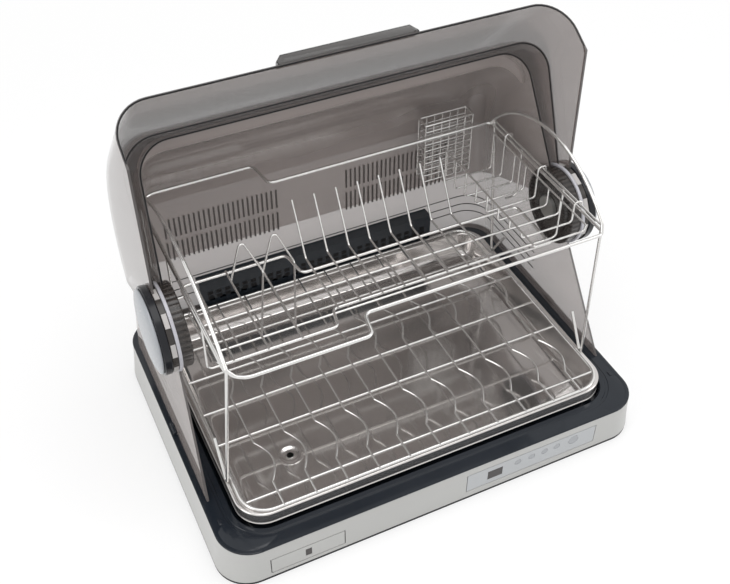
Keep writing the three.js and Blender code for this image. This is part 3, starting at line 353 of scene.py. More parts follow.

# Painted shade: black bars just behind the band round the drawer and panel cut-outs, so the gaps read dark.
gap_shade_lip, gap_shade_reach = 0.0004, 0.001
gap_shade_front, gap_shade_back = body_front + 0.0008, body_front + 0.0018
gap_shade_bars = []
for x0, x1, z0, z1 in (drawer_cut, panel_cut):
    left, right, low, high = x0 + gap_shade_lip, x1 - gap_shade_lip, z0 + gap_shade_lip, z1 - gap_shade_lip
    x0, x1, z0, z1 = x0 - gap_shade_reach, x1 + gap_shade_reach, z0 - gap_shade_reach, z1 + gap_shade_reach
    for bar in ((x0, left, z0, z1), (right, x1, z0, z1), (left, right, z0, low), (left, right, high, z1)):
        gap_shade_bars.append((bar[0], bar[1], gap_shade_front, gap_shade_back, bar[2], bar[3]))
gap_shade_liner = new_object("gap_shade_liner", bar_mesh("gap_shade_liner", gap_shade_bars))
coat(gap_shade_liner, satin_plastic("gap_shade_black", (0.005, 0.005, 0.006), 0.5, shine=0.2))
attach(gap_shade_liner, "base")

# Painted shadow: a dark ring under the band's lower edge stands in for the contact shadow on the table.
shadow_plinth_inset = 0.0001
shadow_plinth_wall = 0.002
shadow_plinth_low = 0.0006
shadow_plinth_rows = [plan_ring(band_half + band_spread - shadow_plinth_inset, body_front + shadow_plinth_inset,
                         body_back - shadow_plinth_inset, band_corner, height) for height in (shadow_plinth_low, band_low)]
shadow_plinth = new_object("painted_shadow_plinth", skin("painted_shadow_plinth", shadow_plinth_rows))
changed(shadow_plinth, "SOLIDIFY", thickness=shadow_plinth_wall, offset=-1)
coat(shadow_plinth, satin_plastic("shadow_plinth_black", (0.012, 0.012, 0.013), 0.5, 900, 0.02, 0.2))
smooth(shadow_plinth.data)
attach(shadow_plinth, "base")


# ---- Deck ----
# The deck is one glossy blue-black moulding that closes the base. Its rim is chamfered, and a
# wide recess in it holds the drip tray. Two small tabs stand on it at each side.
deck_top = 0.053
deck_seat = 0.05205
deck_skirt, deck_skirt_ease = 0.0031, 0.003
deck_wall = 0.0016
recess_floor = 0.0365
duct_mouth = (0.0503, 0.1297, 0.1560, 0.1680)
drain_way = (-0.1440, -0.1340, -0.0846, -0.0746)
tray_half = 0.222
tray_front = -0.1646
tray_back = 0.1514
tray_corner = 0.032
recess_gap = 0.003
recess_half = tray_half + recess_gap
recess_front = tray_front - recess_gap
recess_corner = tray_corner + recess_gap


def black_gloss(name, colour, roughness):
    """Dark glossy plastic with a slow ripple."""
    finish = Finish(bpy.data.materials.new(name))
    place = finish.place()
    cloud = finish.noise(place, 14.0, 4.0)
    ripple = finish.noise(place, 55.0, 1.0)
    return finish.surface({
        "Base Color": finish.mix(cloud, colour, tuple(part * 1.5 + 0.004 for part in colour)),
        "Roughness": cloud * 0.06 + roughness,
        "Normal": finish.bump(ripple, 0.05, 0.0006), "Specular IOR Level": 0.35})


blue_black = black_gloss("blue_black_gloss", (0.009, 0.012, 0.017), 0.08)

deck_rim = ((deck_skirt, deck_skirt_ease, deck_top - 0.003), (deck_skirt, deck_skirt_ease, deck_seat),
            (0, 0, deck_seat), (0, 0, deck_seat + 0.0003), (0.0004, 0, deck_top - 0.0003),
            (0.0009, 0, deck_top))
deck_groove = ((0.0105, 0), (0.0100, 0.0006), (0.0070, 0.0006), (0.0065, 0), (0.0010, 0))
deck_rows = [plan_ring(band_half - inset, body_front + inset, body_back - inset, band_corner - ease, height)
             for inset, ease, height in deck_rim]
deck_rows += [plan_ring(recess_half + out, recess_front - out, tray_back + min(out, 0.0008) + 0.0004 * out,
                        recess_corner + out, deck_top - fall) for out, fall in deck_groove]
deck_rows += [
    plan_ring(recess_half, recess_front, tray_back + 0.0003, recess_corner, deck_top - 0.001),
    plan_ring(recess_half - 0.003, recess_front + 0.001, tray_back, recess_corner, recess_floor)]
deck_moulding = new_object("deck_moulding", skin("deck_moulding", deck_rows, close_last=True))
outward(deck_moulding.data)
changed(deck_moulding, "SOLIDIFY", thickness=deck_wall, offset=-1)
cut(deck_moulding, [(*duct_mouth, deck_top - cut_depth, deck_top + cut_depth),
                    (*drain_way, recess_floor - cut_depth, recess_floor + cut_depth)])
coat(deck_moulding, blue_black)
smooth(deck_moulding.data, 28)
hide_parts("deck")
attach(deck_moulding, "base")

tab_sizes = ((0.0045, -0.003, 0.0022, 0.0080, 0.0042), (0.0100, -0.1405, 0.0016, 0.0036, 0.0009))
tab_boxes = []
for side in (-1, 1):
    for inset, y, half_width, half_depth, rise in tab_sizes:
        x = side * (band_half - inset)
        tab_boxes.append((x - half_width, x + half_width, y - half_depth, y + half_depth,
                          deck_top - 0.0005, deck_top + rise))
deck_tabs = new_object("deck_tabs", bar_mesh("deck_tabs", tab_boxes))
changed(deck_tabs, "BEVEL", width=0.0007, segments=3)
coat(deck_tabs, blue_black)
smooth(deck_tabs.data)
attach(deck_tabs, "base")


# ---- Drip tray ----
# A pressed stainless tray with a narrow brim that is folded down outside, round corners and a
# dished drain near its front left. It drops into the deck's recess.
tray_low = 0.0368
tray_rim = 0.0698
tray_brim = 0.008
tray_metal = 0.00084
skirt_low = 0.0533
tray_foot = 0.014
drain_x = -0.139
drain_y = -0.0796
drain_hole = 0.004
drain_cut = 0.0095


def steel(name, colour, roughness, brush=(900.0, 14.0, 900.0), metal=1.0):
    """Stainless steel with fine lines along the direction that the brush scale leaves long."""
    finish = Finish(bpy.data.materials.new(name))
    place = finish.place()
    mapped = finish.node("ShaderNodeMapping", {"Vector": place, "Scale": brush})["Vector"]
    lines, cloud = finish.noise(mapped, 1.0, 3.0), finish.noise(place, 22.0, 3.0)
    return finish.surface({
        "Base Color": finish.mix(cloud, tuple(part * 0.86 for part in colour), colour), "Metallic": metal,
        "Roughness": lines * 0.08 + roughness,
        "Normal": finish.bump(lines, 0.04, 0.0002)})


tray_steel = steel("pressed_stainless", (0.67, 0.645, 0.63), 0.05, metal=0.9)
tray_profile = (
    (0.0022, skirt_low), (0.0006, skirt_low + 0.0003), (0.0003, skirt_low + 0.0012),
    (0.0010, skirt_low + 0.0022), (0.0014, skirt_low + 0.0036), (0.0005, tray_rim - 0.004),
    (0.0003, tray_rim - 0.0012), (0.0009, tray_rim - 0.0003), (0.0018, tray_rim),
    (tray_brim - 0.0016, tray_rim), (tray_brim - 0.0006, tray_rim - 0.0004), (tray_brim, tray_rim - 0.0014),
    (tray_brim + 0.0045, tray_low + 0.009), (tray_foot + 0.001, tray_low + 0.0045),
    (tray_foot + 0.004, tray_low + 0.0022), (tray_foot + 0.009, tray_low + 0.0013),
    (tray_foot + 0.016, tray_low + 0.0012))
tray_rows = [plan_ring(tray_half - inset, tray_front + inset, tray_back - inset,
                       max(tray_corner - inset, 0.006), height) for inset, height in tray_profile]
stainless_tray = new_object("stainless_tray", skin("stainless_tray", tray_rows, close_last=True))
outward(stainless_tray.data)
changed(stainless_tray, "SOLIDIFY", thickness=tray_metal, offset=-1)
cut(stainless_tray, [(drain_x - drain_cut, drain_x + drain_cut, drain_y - drain_cut, drain_y + drain_cut,
                      tray_low - cut_depth, tray_low + 0.003)])
coat(stainless_tray, tray_steel)
smooth(stainless_tray.data, 40)
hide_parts("drip_tray")
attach(stainless_tray, "tray")


def turned(name, profile, steps=48):
    """A round piece about +Z from (radius, height) pairs; a radius of zero closes it."""
    work = bmesh.new()
    rings = []
    for radius, height in profile:
        turns = [2 * math.pi * i / steps for i in range(steps)] if radius else [0]
        rings.append([work.verts.new((radius * math.cos(turn), radius * math.sin(turn), height))
                      for turn in turns])
    for low, high in zip(rings, rings[1:]):
        for i in range(steps):
            j = (i + 1) % steps
            if len(low) == 1:
                work.faces.new((low[0], high[j], high[i]))
            elif len(high) == 1:
                work.faces.new((low[i], low[j], high[0]))
            else:
                work.faces.new((low[i], low[j], high[j], high[i]))
    bmesh.ops.recalc_face_normals(work, faces=work.faces)
    return mesh_of(work, name)


drain_profile = [(drain_hole, 0.0004), (drain_hole, -0.0004), (0.0085, -0.0004), (0.0105, 0.0006),
                 (0.0118, 0.0007), (0.0145, 0.0007), (0.0145, 0.0014), (0.0132, 0.0017), (0.0118, 0.0014),
                 (0.0100, 0.0009), (0.0083, 0.0002), (0.0048, 0.0002), (drain_hole, 0.0004)]
drain_dish = new_object("drain_dish", turned("drain_dish", drain_profile))
drain_dish.data.transform(Matrix.Translation((drain_x, drain_y, tray_low + 0.0006)))
coat(drain_dish, tray_steel)
smooth(drain_dish.data, 40)
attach(drain_dish, "tray")


# ---- Racks: how the wires are made ----
# All the racks are polished steel wire, bent to shape and spot-welded where wires cross. One
# node tree rounds the bends of a set of paths and gives them a round section.
class Shape(Finish):
    """A tree of geometry nodes with named inputs, which ends by giving its mesh a finish."""

    def __init__(self, name, inlets):
        self.tree = bpy.data.node_groups.new(name, "GeometryNodeTree")
        face = self.tree.interface
        for label, kind in {"Geometry": "Geometry", **inlets, "Finish": "Material"}.items():
            face.new_socket(label, in_out="INPUT", socket_type="NodeSocket" + kind)
        face.new_socket("Geometry", in_out="OUTPUT", socket_type="NodeSocketGeometry")
        self.inlet = self.node("NodeGroupInput")

    def finished(self, mesh):
        real = self.node("GeometryNodeRealizeInstances", {"Geometry": mesh})["Geometry"]
        inputs = {"Geometry": real, "Material": self.inlet["Finish"]}
        coated = self.node("GeometryNodeSetMaterial", inputs)
        self.node("NodeGroupOutput", {"Geometry": coated["Geometry"]})
        return self.tree


def wire_tree():
    shape = Shape("bent_wire", {"Wire Radius": "Float", "Bend Radius": "Float", "Sides": "Int"})
    inlet = shape.inlet
    curve = shape.node("GeometryNodeMeshToCurve", {"Mesh": inlet["Geometry"]})
    fillet = shape.node("GeometryNodeFilletCurve", {
        "Curve": curve["Curve"], "Radius": inlet["Bend Radius"], "Count": 5, "Limit Radius": True},
        mode="POLY")
    circle = shape.node("GeometryNodeCurvePrimitiveCircle", {
        "Radius": inlet["Wire Radius"], "Resolution": inlet["Sides"]})
    sweep = shape.node("GeometryNodeCurveToMesh", {
        "Curve": fillet["Curve"], "Profile Curve": circle["Curve"], "Fill Caps": True})
    shade = shape.node("GeometryNodeSetShadeSmooth", {"Geometry": sweep["Mesh"]})
    return shape.finished(shade["Geometry"])


bent_wire = wire_tree()
wire_steel = steel("polished_wire", (0.76, 0.75, 0.735), 0.13, (300.0, 300.0, 300.0), 0.83)


def grown(name, mesh, tree, values):
    """A piece that a node tree makes from a mesh, with the tree's inputs set by name."""
    piece = new_object(name, mesh)
    change = piece.modifiers.new("grown", "NODES")
    change.node_group = tree
    for item in tree.interface.items_tree:
        if item.in_out == "INPUT" and item.name in values:
            change[item.identifier] = values[item.name]
    return settle(piece)


def bent(name, paths, radius, bend, sides=10, finish=wire_steel):
    """Wires of one thickness along paths; a path that ends where it starts is a loop."""
    points, edges = [], []
    for path in paths:
        first = len(points)
        loop = path[0] == path[-1]
        points.extend(path[:-1] if loop else path)
        edges.extend((i, i + 1) for i in range(first, len(points) - 1))
        if loop:
            edges.append((len(points) - 1, first))
    mesh = bpy.data.meshes.new(name)
    mesh.from_pydata(points, edges, [])
    return grown(name, mesh, bent_wire, {
        "Wire Radius": radius, "Bend Radius": bend, "Sides": sides, "Finish": finish})


def joined(name, pieces):
    """One object from several, with the finish of the first."""
    work = bmesh.new()
    for piece in pieces:
        work.from_mesh(piece.data)
    mesh = mesh_of(work, name)
    for material in pieces[0].data.materials:
        mesh.materials.append(material)
    for piece in pieces:
        bpy.data.objects.remove(piece)
    return new_object(name, mesh)


# ---- Lower rack ----
# A rim wire and five cross bars carry eleven thin wires. Each swings sideways in two places, and
# plates and bowls stand between the swings. The rim rests on the tray's brim.
lower_half = 0.2148
lower_front = -0.1610
lower_back = 0.1478
lower_corner = 0.0284
lower_rim_z = 0.0719
lower_rim_wire = 0.0019
lower_bar_wire = 0.0015
wave_wire = 0.0012
wave_first_x = -0.177
wave_pitch_x = 0.036
wave_wires = 11
bar_places = (0.062, 0.327, 0.479, 0.649, 0.805)
wave_rows = (-0.1296, -0.0016)
wave_length = 0.056
wave_swing = 0.011
wave_steps = 16

rim_path = plan_ring(lower_half, lower_front, lower_back, lower_corner, lower_rim_z, 10)
bar_z = lower_rim_z - lower_rim_wire / 2
bars = []
for share in bar_places:
    y = lower_front + (lower_back - lower_front) * share
    bars.append([(-lower_half, y, bar_z), (lower_half, y, bar_z)])
wave_z = bar_z + lower_bar_wire + wave_wire / 2
waves = []
for number in range(wave_wires):
    x = wave_first_x + number * wave_pitch_x
    wave = [(x, lower_front - 0.001, wave_z)]
    for start in wave_rows:
        wave += [(x + wave_swing * math.sin(math.pi * share), start + wave_length * share, wave_z)
                 for share in evenly(0, 1, wave_steps)]
    wave.append((x, lower_back + 0.001, wave_z))
    waves.append(wave)
lower_wires = joined("lower_wire_rack", [
    bent("rack_rim", [rim_path + rim_path[:1]], lower_rim_wire, 0.001, 12),
    bent("rack_bars", bars, lower_bar_wire, 0.001),
    bent("rack_waves", waves, wave_wire, 0.002)])
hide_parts("lower_rack")
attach(lower_wires, "lower_rack")


# ---- Upper rack ----
# A stepped top frame in one loop, a round arch over each side, four bent legs and a stepped floor.
# Plate wires lean at the right, and at the left bent wires part the cups from each other.
frame_wire, leg_wire, thin_wire = 0.0019, 0.0017, 0.0012
arch_bend, leg_bend, floor_bend, cup_bend = 0.004, 0.007, 0.006, 0.0035
rack_half = 0.212
rail_z = 0.258
floor_z = 0.196
arch_rise, arch_share = 0.057, 0.94
wide_bend, step_bend = 0.022, 0.008
left_front, left_back = -0.1466, 0.1534
right_front, right_back = -0.1166, 0.1154
front_step_x, rear_step_x = -0.068, -0.075
floor_left_front, floor_right_front = -0.0646, -0.0386
floor_left_back, floor_right_back = 0.0624, 0.0274
floor_reach = 0.200
hanger_y = 0.0464
leg_front_y, leg_back_y = -0.1086, 0.0974
foot_half = 0.2197
foot_z = 0.0716
foot_return = 0.028
foot_rise = 0.040
side_rail_z = 0.264
thin_bars = (-0.0456, -0.0046)
plate_first, plate_pitch, plate_count = -0.060, 0.0262, 8
plate_top = (0.0804, 0.2555)
cup_first, cup_pitch, cup_count = -0.1845, 0.037, 3
cup_peak, cup_peak_shift = 0.054, 0.0148


def stepped_loop(reach, fronts, backs, bend, z, run=0.0025):
    """A loop with steps in its front and its back, and a round bend at each left corner."""
    middle_y = (fronts[0] + backs[0]) / 2
    return [(-reach, middle_y, z), *reversed(quarter(bend - reach, backs[0] - bend, 90, bend, z)),
            (rear_step_x - run, backs[0], z), (rear_step_x + run, backs[1], z), (reach, backs[1], z),
            (reach, fronts[1], z), (front_step_x + run, fronts[1], z), (front_step_x - run, fronts[0], z),
            *reversed(quarter(bend - reach, fronts[0] + bend, 180, bend, z)), (-reach, middle_y, z)]


def arch(side, front, back, bend, steps=24):
    """An arch from one corner of the top frame to the other."""
    half = (back - front) / 2
    radius = (half * half + arch_rise * arch_rise) / (2 * arch_rise)
    inside = bend * (1 - math.sqrt(0.5))
    points = [(side * (rack_half - inside), front + inside, rail_z)]
    for step in range(steps + 1):
        along = half * arch_share * math.sin(math.pi / 2 * (2 * step / steps - 1))
        rise = arch_rise - radius + math.sqrt(radius * radius - along * along)
        points.append((side * rack_half, (front + back) / 2 + along, rail_z + rise))
    return points + [(side * (rack_half - inside), back - inside, rail_z)]


top_loop = stepped_loop(rack_half, (left_front, right_front), (left_back, right_back), wide_bend, rail_z)
floor_loop = stepped_loop(floor_reach, (floor_left_front, floor_right_front),
                          (floor_left_back, floor_right_back), step_bend, floor_z)
arches, leg_paths, thin_paths, cup_paths = [], [floor_loop], [], []
for side, front, back, bend, floor_front in (
        (-1, left_front, left_back, wide_bend, floor_left_front),
        (1, right_front, right_back, step_bend, floor_right_front)):
    bow = arch(side, front, back, bend)
    arches.append(bow)
    x = side * rack_half
    thin_paths.append([(x, bow[1][1], side_rail_z), (x, bow[-2][1], side_rail_z)])
    for y in (floor_front, hanger_y):
        thin_paths.append([(x, y, side_rail_z), (x, y, floor_z), (side * (floor_reach - 0.003), y, floor_z)])
    for top, y, way in ((bow[1], leg_front_y, 1), (bow[-2], leg_back_y, -1)):
        foot_x = side * foot_half
        leg_paths.append([top, (foot_x, y, foot_z), (foot_x, y + way * 0.004, foot_z),
                          (foot_x, y + way * foot_return, foot_z + foot_rise)])
for y in thin_bars:
    thin_paths.append([(-floor_reach, y, floor_z), (floor_reach, y, floor_z)])
floor_top = floor_z + leg_wire * 0.8
for number in range(plate_count):
    x = plate_first + number * plate_pitch
    thin_paths.append([(x, floor_right_front - 0.0025, floor_top), (x, hanger_y, floor_top),
                       (x, plate_top[0], plate_top[1])])
for number in range(cup_count):
    x = cup_first + number * cup_pitch
    thin_paths.append([(x, floor_left_front - 0.002, floor_top), (x, floor_left_back + 0.002, floor_top)])
    if number:
        cup_paths.append([
            (x, floor_left_back, floor_top), (x, hanger_y, floor_top),
            (x + cup_peak_shift, hanger_y, floor_top + cup_peak), (x + cup_pitch, hanger_y, floor_top),
            (x, thin_bars[0], floor_top), (x, floor_left_front, floor_top)])
upper_wires = joined("upper_wire_rack", [
    bent("frame_loop", [top_loop], frame_wire, step_bend, 12),
    bent("frame_arches", arches, frame_wire, arch_bend, 12),
    bent("leg_wires", leg_paths, leg_wire, leg_bend, 12),
    bent("floor_wires", thin_paths, thin_wire, floor_bend),
    bent("cup_wires", cup_paths, thin_wire, cup_bend)])
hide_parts("upper_rack")
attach(upper_wires, "upper_rack")


# ---- Utensil basket ----
# A row of U-shaped wires between two side rails, deeper towards the back, hooked over the upper
# rack's right side rail.
basket_left, basket_right = 0.142, 0.206
basket_front, basket_back = -0.0916, 0.0974
basket_high = 0.2539
basket_left_top = 0.2489
basket_front_drop, basket_back_drop = 0.008, 0.050
basket_overhang = 0.0013
basket_wires = 9
basket_wire = 0.0011
hook_x, hook_drop = 0.2162, 0.005
hook_z = side_rail_z + thin_wire + basket_wire + 0.0001
basket_paths = []
for x, z in ((basket_right, basket_high), (basket_left, basket_left_top)):
    basket_paths.append([(x, basket_front - basket_overhang, z), (x, basket_back + basket_overhang, z)])
basket_places = evenly(basket_front, basket_back, basket_wires - 1)
for y, drop in zip(basket_places, evenly(basket_front_drop, basket_back_drop, basket_wires - 1)):
    z = basket_high - drop
    basket_paths.append([(basket_left, y, basket_left_top), (basket_left, y, z), (basket_right, y, z),
                         (basket_right, y, basket_high)])
for y in basket_places[1::3]:
    basket_paths.append([(basket_right, y, basket_high), (basket_right, y, hook_z), (hook_x, y, hook_z),
                         (hook_x, y, hook_z - hook_drop)])
basket = bent("wire_basket", basket_paths, basket_wire, 0.004)
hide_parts("utensil_basket")
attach(basket, "basket")


# ---- Cutlery holder ----
# A narrow box of fine wires that hangs behind the rear rail at the right. Its rim is a thicker
# wire than the grid.
holder_left, holder_right = 0.1252, 0.1878
holder_front, holder_back = 0.1187, 0.1363
holder_low, holder_high = 0.1942, 0.274
holder_rows = 9
holder_columns = 6
fine_wire = 0.0009
holder_rim_wire = 0.0014
holder_paths = []


def holder_loop(z):
    corners = [(holder_left, holder_front, z), (holder_right, holder_front, z),
               (holder_right, holder_back, z), (holder_left, holder_back, z)]
    return corners + corners[:1]


for height in evenly(holder_low, holder_high, holder_rows):
    holder_paths.append(holder_loop(height))
for x in evenly(holder_left, holder_right, holder_columns):
    holder_paths.append([(x, holder_front, holder_high), (x, holder_front, holder_low),
                         (x, holder_back, holder_low), (x, holder_back, holder_high)])
holder_wires = joined("wire_cutlery_holder", [
    bent("holder_grid", holder_paths, fine_wire, 0.002, 8),
    bent("holder_rim", [holder_loop(holder_high)], holder_rim_wire, 0.002, 8)])
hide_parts("cutlery_holder")
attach(holder_wires, "holder")


# ---- Cover shells: how they are made ----
# Three nested shells of clear plastic, smoked brown-grey and moulded 2.5 mm thick. Each is part
# of a drum about the hub axis, with round corners where the roof turns down into flat sides.
hub_y = -0.0081
hub_z = 0.215
cover_wall = 0.0025
hub_hole = 0.012


def smoked_plastic(name, tint, clearness, gloss):
    """Tinted clear plastic; gloss is how much of the surround it mirrors at a low angle."""
    finish = Finish(bpy.data.materials.new(name))
    cloud = finish.noise(finish.place(), 5.0, 2.0)
    body = finish.node("ShaderNodeBsdfPrincipled", {
        "Base Color": finish.mix(cloud, tint, tuple(part * 1.25 for part in tint)),
        "Roughness": 0.05, "Alpha": 1 - clearness, "Specular IOR Level": 0.25})
    mirror = finish.node("ShaderNodeBsdfGlossy", {"Color": (1, 1, 1, 1), "Roughness": 0.06})
    facing = finish.node("ShaderNodeLayerWeight", {"Blend": 0.5})["Facing"]
    front = 1 - finish.node("ShaderNodeNewGeometry")["Backfacing"]
    amount = ((facing ** 3.0) * gloss * front).math("MINIMUM", 1.0)
    both = finish.node("ShaderNodeMixShader", {0: amount, 1: body["BSDF"], 2: mirror["BSDF"]})
    return finish.shown(both["Shader"])


smoke_tint = (0.215, 0.176, 0.164)
smoked_outside = smoked_plastic("smoked_outside", smoke_tint, 0.45, 0.36)
smoked_inside = smoked_plastic("smoked_inside", smoke_tint, 0.45, 0.30)
# Painted light: the rear cover gets a paler, clearer copy of the same smoke, brightening it where the table
# seen through it lies in the cabinet's shadow.
rear_brightened_tint = (0.37, 0.325, 0.308)
rear_brightened_outside = smoked_plastic("rear_brightened_outside", rear_brightened_tint, 0.50, 0.20)
rear_brightened_inside = smoked_plastic("rear_brightened_inside", rear_brightened_tint, 0.50, 0.20)
smoked_edge = smoked_plastic("smoked_edge", (0.10, 0.092, 0.09), 0.15, 0.20)
line_black = satin_plastic("line_black", (0.005, 0.005, 0.006), 0.3, shine=0.2)


def on_drum(angle, radius):
    turn = math.radians(angle)
    return hub_y + radius * math.cos(turn), hub_z + radius * math.sin(turn)


def arc(start, end, radius_at, steps):
    """Profile points (y, z, inward y, inward z) of a drum wall."""
    points = []
    for angle in evenly(start, end, steps):
        turn = math.radians(angle)
        points.append((*on_drum(angle, radius_at(angle)), -math.cos(turn), -math.sin(turn)))
    return points


def straight_in(number, point, depth):
    """A profile point moved inwards."""
    return point[0] + point[2] * depth, point[1] + point[3] * depth


def blend(start, end, share):
    return start[0] * (1 - share) + end[0] * share, start[1] * (1 - share) + end[1] * share


def both_sides(station, half_at):
    """The left side's points from (depth in from the side, y, z), and the right side's in reverse."""
    left = [(sideways - half_at(z), y, z) for sideways, y, z in station]
    right = [(half_at(z) - sideways, y, z) for sideways, y, z in station]
    return left, right


def cover_shell(name, profile, closing, half_at, corner, inset=straight_in,
                faces=(smoked_outside, smoked_inside)):
    """The outer skin of a cover from its profile, its sides' inner outline and its half width."""
    round_steps, side_steps = 10, 6
    stations = []
    for step in range(side_steps):
        stations.append([(0, *blend(closing[number], inset(number, point, corner), step / side_steps))
                         for number, point in enumerate(profile)])
    for step in range(round_steps + 1):
        turn = math.pi / 2 * (1 - step / round_steps)
        depth = corner - corner * math.cos(turn)
        sideways = corner - corner * math.sin(turn)
        stations.append([(sideways, *inset(number, point, depth)) for number, point in enumerate(profile)])
    sides = [both_sides(station, half_at) for station in stations]
    rings = [left for left, right in sides] + [right for left, right in reversed(sides)]
    mesh = skin(name, rings, closed=False)
    roof = mesh.polygons[(len(sides) - 1) * (len(profile) - 1) + len(profile) // 2]
    away = Vector((0, roof.center.y - hub_y, roof.center.z - hub_z))
    if roof.normal.dot(away) < 0:
        mesh.flip_normals()
    for material in (*faces, smoked_edge):
        mesh.materials.append(material)
    return changed(new_object(name, mesh), "SOLIDIFY", thickness=cover_wall, offset=-1, use_even_offset=True,
                   material_offset=1, material_offset_rim=2)


def rim_line(name, profile, closing, half_at, corner, inset=straight_in, lead=()):
    """The dark line in a shell's front rim, where its wall turns; it lies inside the wall."""
    steps, depth, radius = 10, 0.0016, 0.0009
    last = len(profile) - 1

    def sunk(end, before):
        share = (radius - 0.0003) / math.hypot(before[0] - end[0], before[1] - end[1])
        return end[0] + (before[0] - end[0]) * share, end[1] + (before[1] - end[1]) * share

    def edge_at(deep):
        return sunk(inset(last, profile[last], deep), inset(last - 1, profile[last - 1], deep))

    foot = sunk(closing[last], closing[last - 1])
    station = [(depth, *spot) for spot in lead]
    station += [(depth, *blend(foot, edge_at(corner), share)) for share in (0.25, 0.5, 0.75)]
    for step in range(steps + 1):
        turn = math.pi / 2 * (1 - step / steps)
        station.append((corner - (corner - depth) * math.sin(turn),
                        *edge_at(corner - (corner - depth) * math.cos(turn))))
    left, right = both_sides(station, half_at)
    return bent(name, [left + right[::-1]], radius, 0.001, 8, line_black)


def toward(start, end, count):
    return list(zip(evenly(start[0], end[0], count - 1), evenly(start[1], end[1], count - 1)))


# ---- Rear cover ----
# The fixed shell: an upright back wall with two blocks of barred vent slots, a roof that falls
# towards the back, drafted sides, and a raised band along its front rim. Three moulding lines run
# round inside it. Two rows of black plates on the duct at its foot stand in for its slots, their
# dark openings given as painted shade.
rear_radius = 0.181
rim_radius = 0.182
shoulder_drop = 0.012
ramp_angle, band_angle, rim_angle = 53.0, 56.5, 63.0
rear_low = 0.0533
rear_tip = (-0.1106, rear_low)
rear_knee = (-0.0116, hub_z)
rear_corner = 0.034
tip_half, rim_half = 0.2445, 0.220
rim_z = hub_z + rim_radius * math.sin(math.radians(rim_angle))
vent_first, vent_pitch, vent_count = 0.046, 0.006, 24
vent_width, vent_height = 0.0024, 0.027
vent_rows = (0.1416, 0.1756)
vent_bar = (0.0017, 0.0020, vent_height + 0.0004)
duct_first, duct_pitch, duct_count = -0.1456, 0.0112, 27
duct_rises = (0.0285, 0.0355)
duct_slot = (0.0068, 0.0004, 0.0052)
moulding_heights = (0.083, 0.095, 0.109)
moulding_end = 0.030


def rear_radius_at(angle):
    fall = shoulder_drop * (max(min(angle, band_angle), 0) / band_angle) ** (4 / 3)
    if angle <= ramp_angle:
        return rear_radius - fall
    rise = min((angle - ramp_angle) / (band_angle - ramp_angle), 1)
    rise = rise * rise * (3 - 2 * rise)
    return (rear_radius - fall) * (1 - rise) + rim_radius * rise


def rear_half_at(z):
    return tip_half + (rim_half - tip_half) * (z - 0.053) / (rim_z - 0.053)


back_y = hub_y + rear_radius
duct_front = back_y - 0.0192
rear_profile = [(back_y, height, -1, 0) for height in evenly(rear_low, hub_z, 8)[:-1]]
rear_profile += arc(0, ramp_angle, rear_radius_at, 22)
rear_profile += arc(ramp_angle + 0.6, rim_angle, rear_radius_at, 14)
rear_closing = toward(rear_tip, rear_knee, len(rear_profile))
rear_form = (rear_profile, rear_closing, rear_half_at, rear_corner)
rear_shell = cover_shell("rear_cover_shell", *rear_form, faces=(rear_brightened_outside, rear_brightened_inside))
vent_boxes = []
for side in (-1, 1):
    for z in vent_rows:
        for number in range(vent_count):
            x = side * (vent_first + number * vent_pitch)
            vent_boxes.append((x - vent_width / 2, x + vent_width / 2, back_y - 0.008, back_y + 0.008,
                               z, z + vent_height))
cut(rear_shell, vent_boxes)
smooth(rear_shell.data, 32)
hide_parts("rear_cover")
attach(rear_shell, "base")
rear_line = rim_line("rear_rim_line", *rear_form)
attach(rear_line, "base")


def row_tree():
    """Blocks of one size at an even pitch."""
    shape = Shape("row_of_blocks", {"Count": "Int", "Pitch": "Vector", "Start": "Vector", "Size": "Vector"})
    inlet = shape.inlet
    line = shape.node("GeometryNodeMeshLine", {
        "Count": inlet["Count"], "Start Location": inlet["Start"], "Offset": inlet["Pitch"]}, mode="OFFSET")
    block = shape.node("GeometryNodeMeshCube", {"Size": inlet["Size"]})
    copies = shape.node("GeometryNodeInstanceOnPoints", {"Points": line["Mesh"], "Instance": block["Mesh"]})
    return shape.finished(copies["Instances"])


row_of_blocks = row_tree()


def block_row(name, count, start, pitch, size, finish):
    return grown(name, bpy.data.meshes.new(name), row_of_blocks, {
        "Count": count, "Start": start, "Pitch": (pitch, 0, 0), "Size": size, "Finish": finish})


vent_shade = satin_plastic("vent_shade", (0.085, 0.073, 0.069), 0.35, shine=0.3)
louvres = joined("vent_louvres", [
    block_row("louvres", vent_count, (side * vent_first, back_y - cover_wall / 2, z + vent_height / 2),
              side * vent_pitch, vent_bar, vent_shade) for side in (-1, 1) for z in vent_rows])
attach(louvres, "base")

# Painted shade: thin black plates on the duct's face give the dark of its slot openings.
duct_slot_shade = joined("duct_slot_shade", [
    block_row("slots", duct_count, (duct_first, duct_front, deck_top + rise), duct_pitch, duct_slot,
              line_black) for rise in duct_rises])
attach(duct_slot_shade, "base")

moulding_paths = []
inside_y = back_y - cover_wall
bend = rear_corner - cover_wall
for height in moulding_heights:
    half = rear_half_at(height) - cover_wall
    moulding_paths.append([
        (-half, moulding_end, height), *reversed(quarter(bend - half, inside_y - bend, 90, bend, height)),
        *reversed(quarter(half - bend, inside_y - bend, 0, bend, height)), (half, moulding_end, height)])
moulding_lines = bent("moulding_lines", moulding_paths, 0.0006, 0.001, 6, line_black)
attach(moulding_lines, "base")


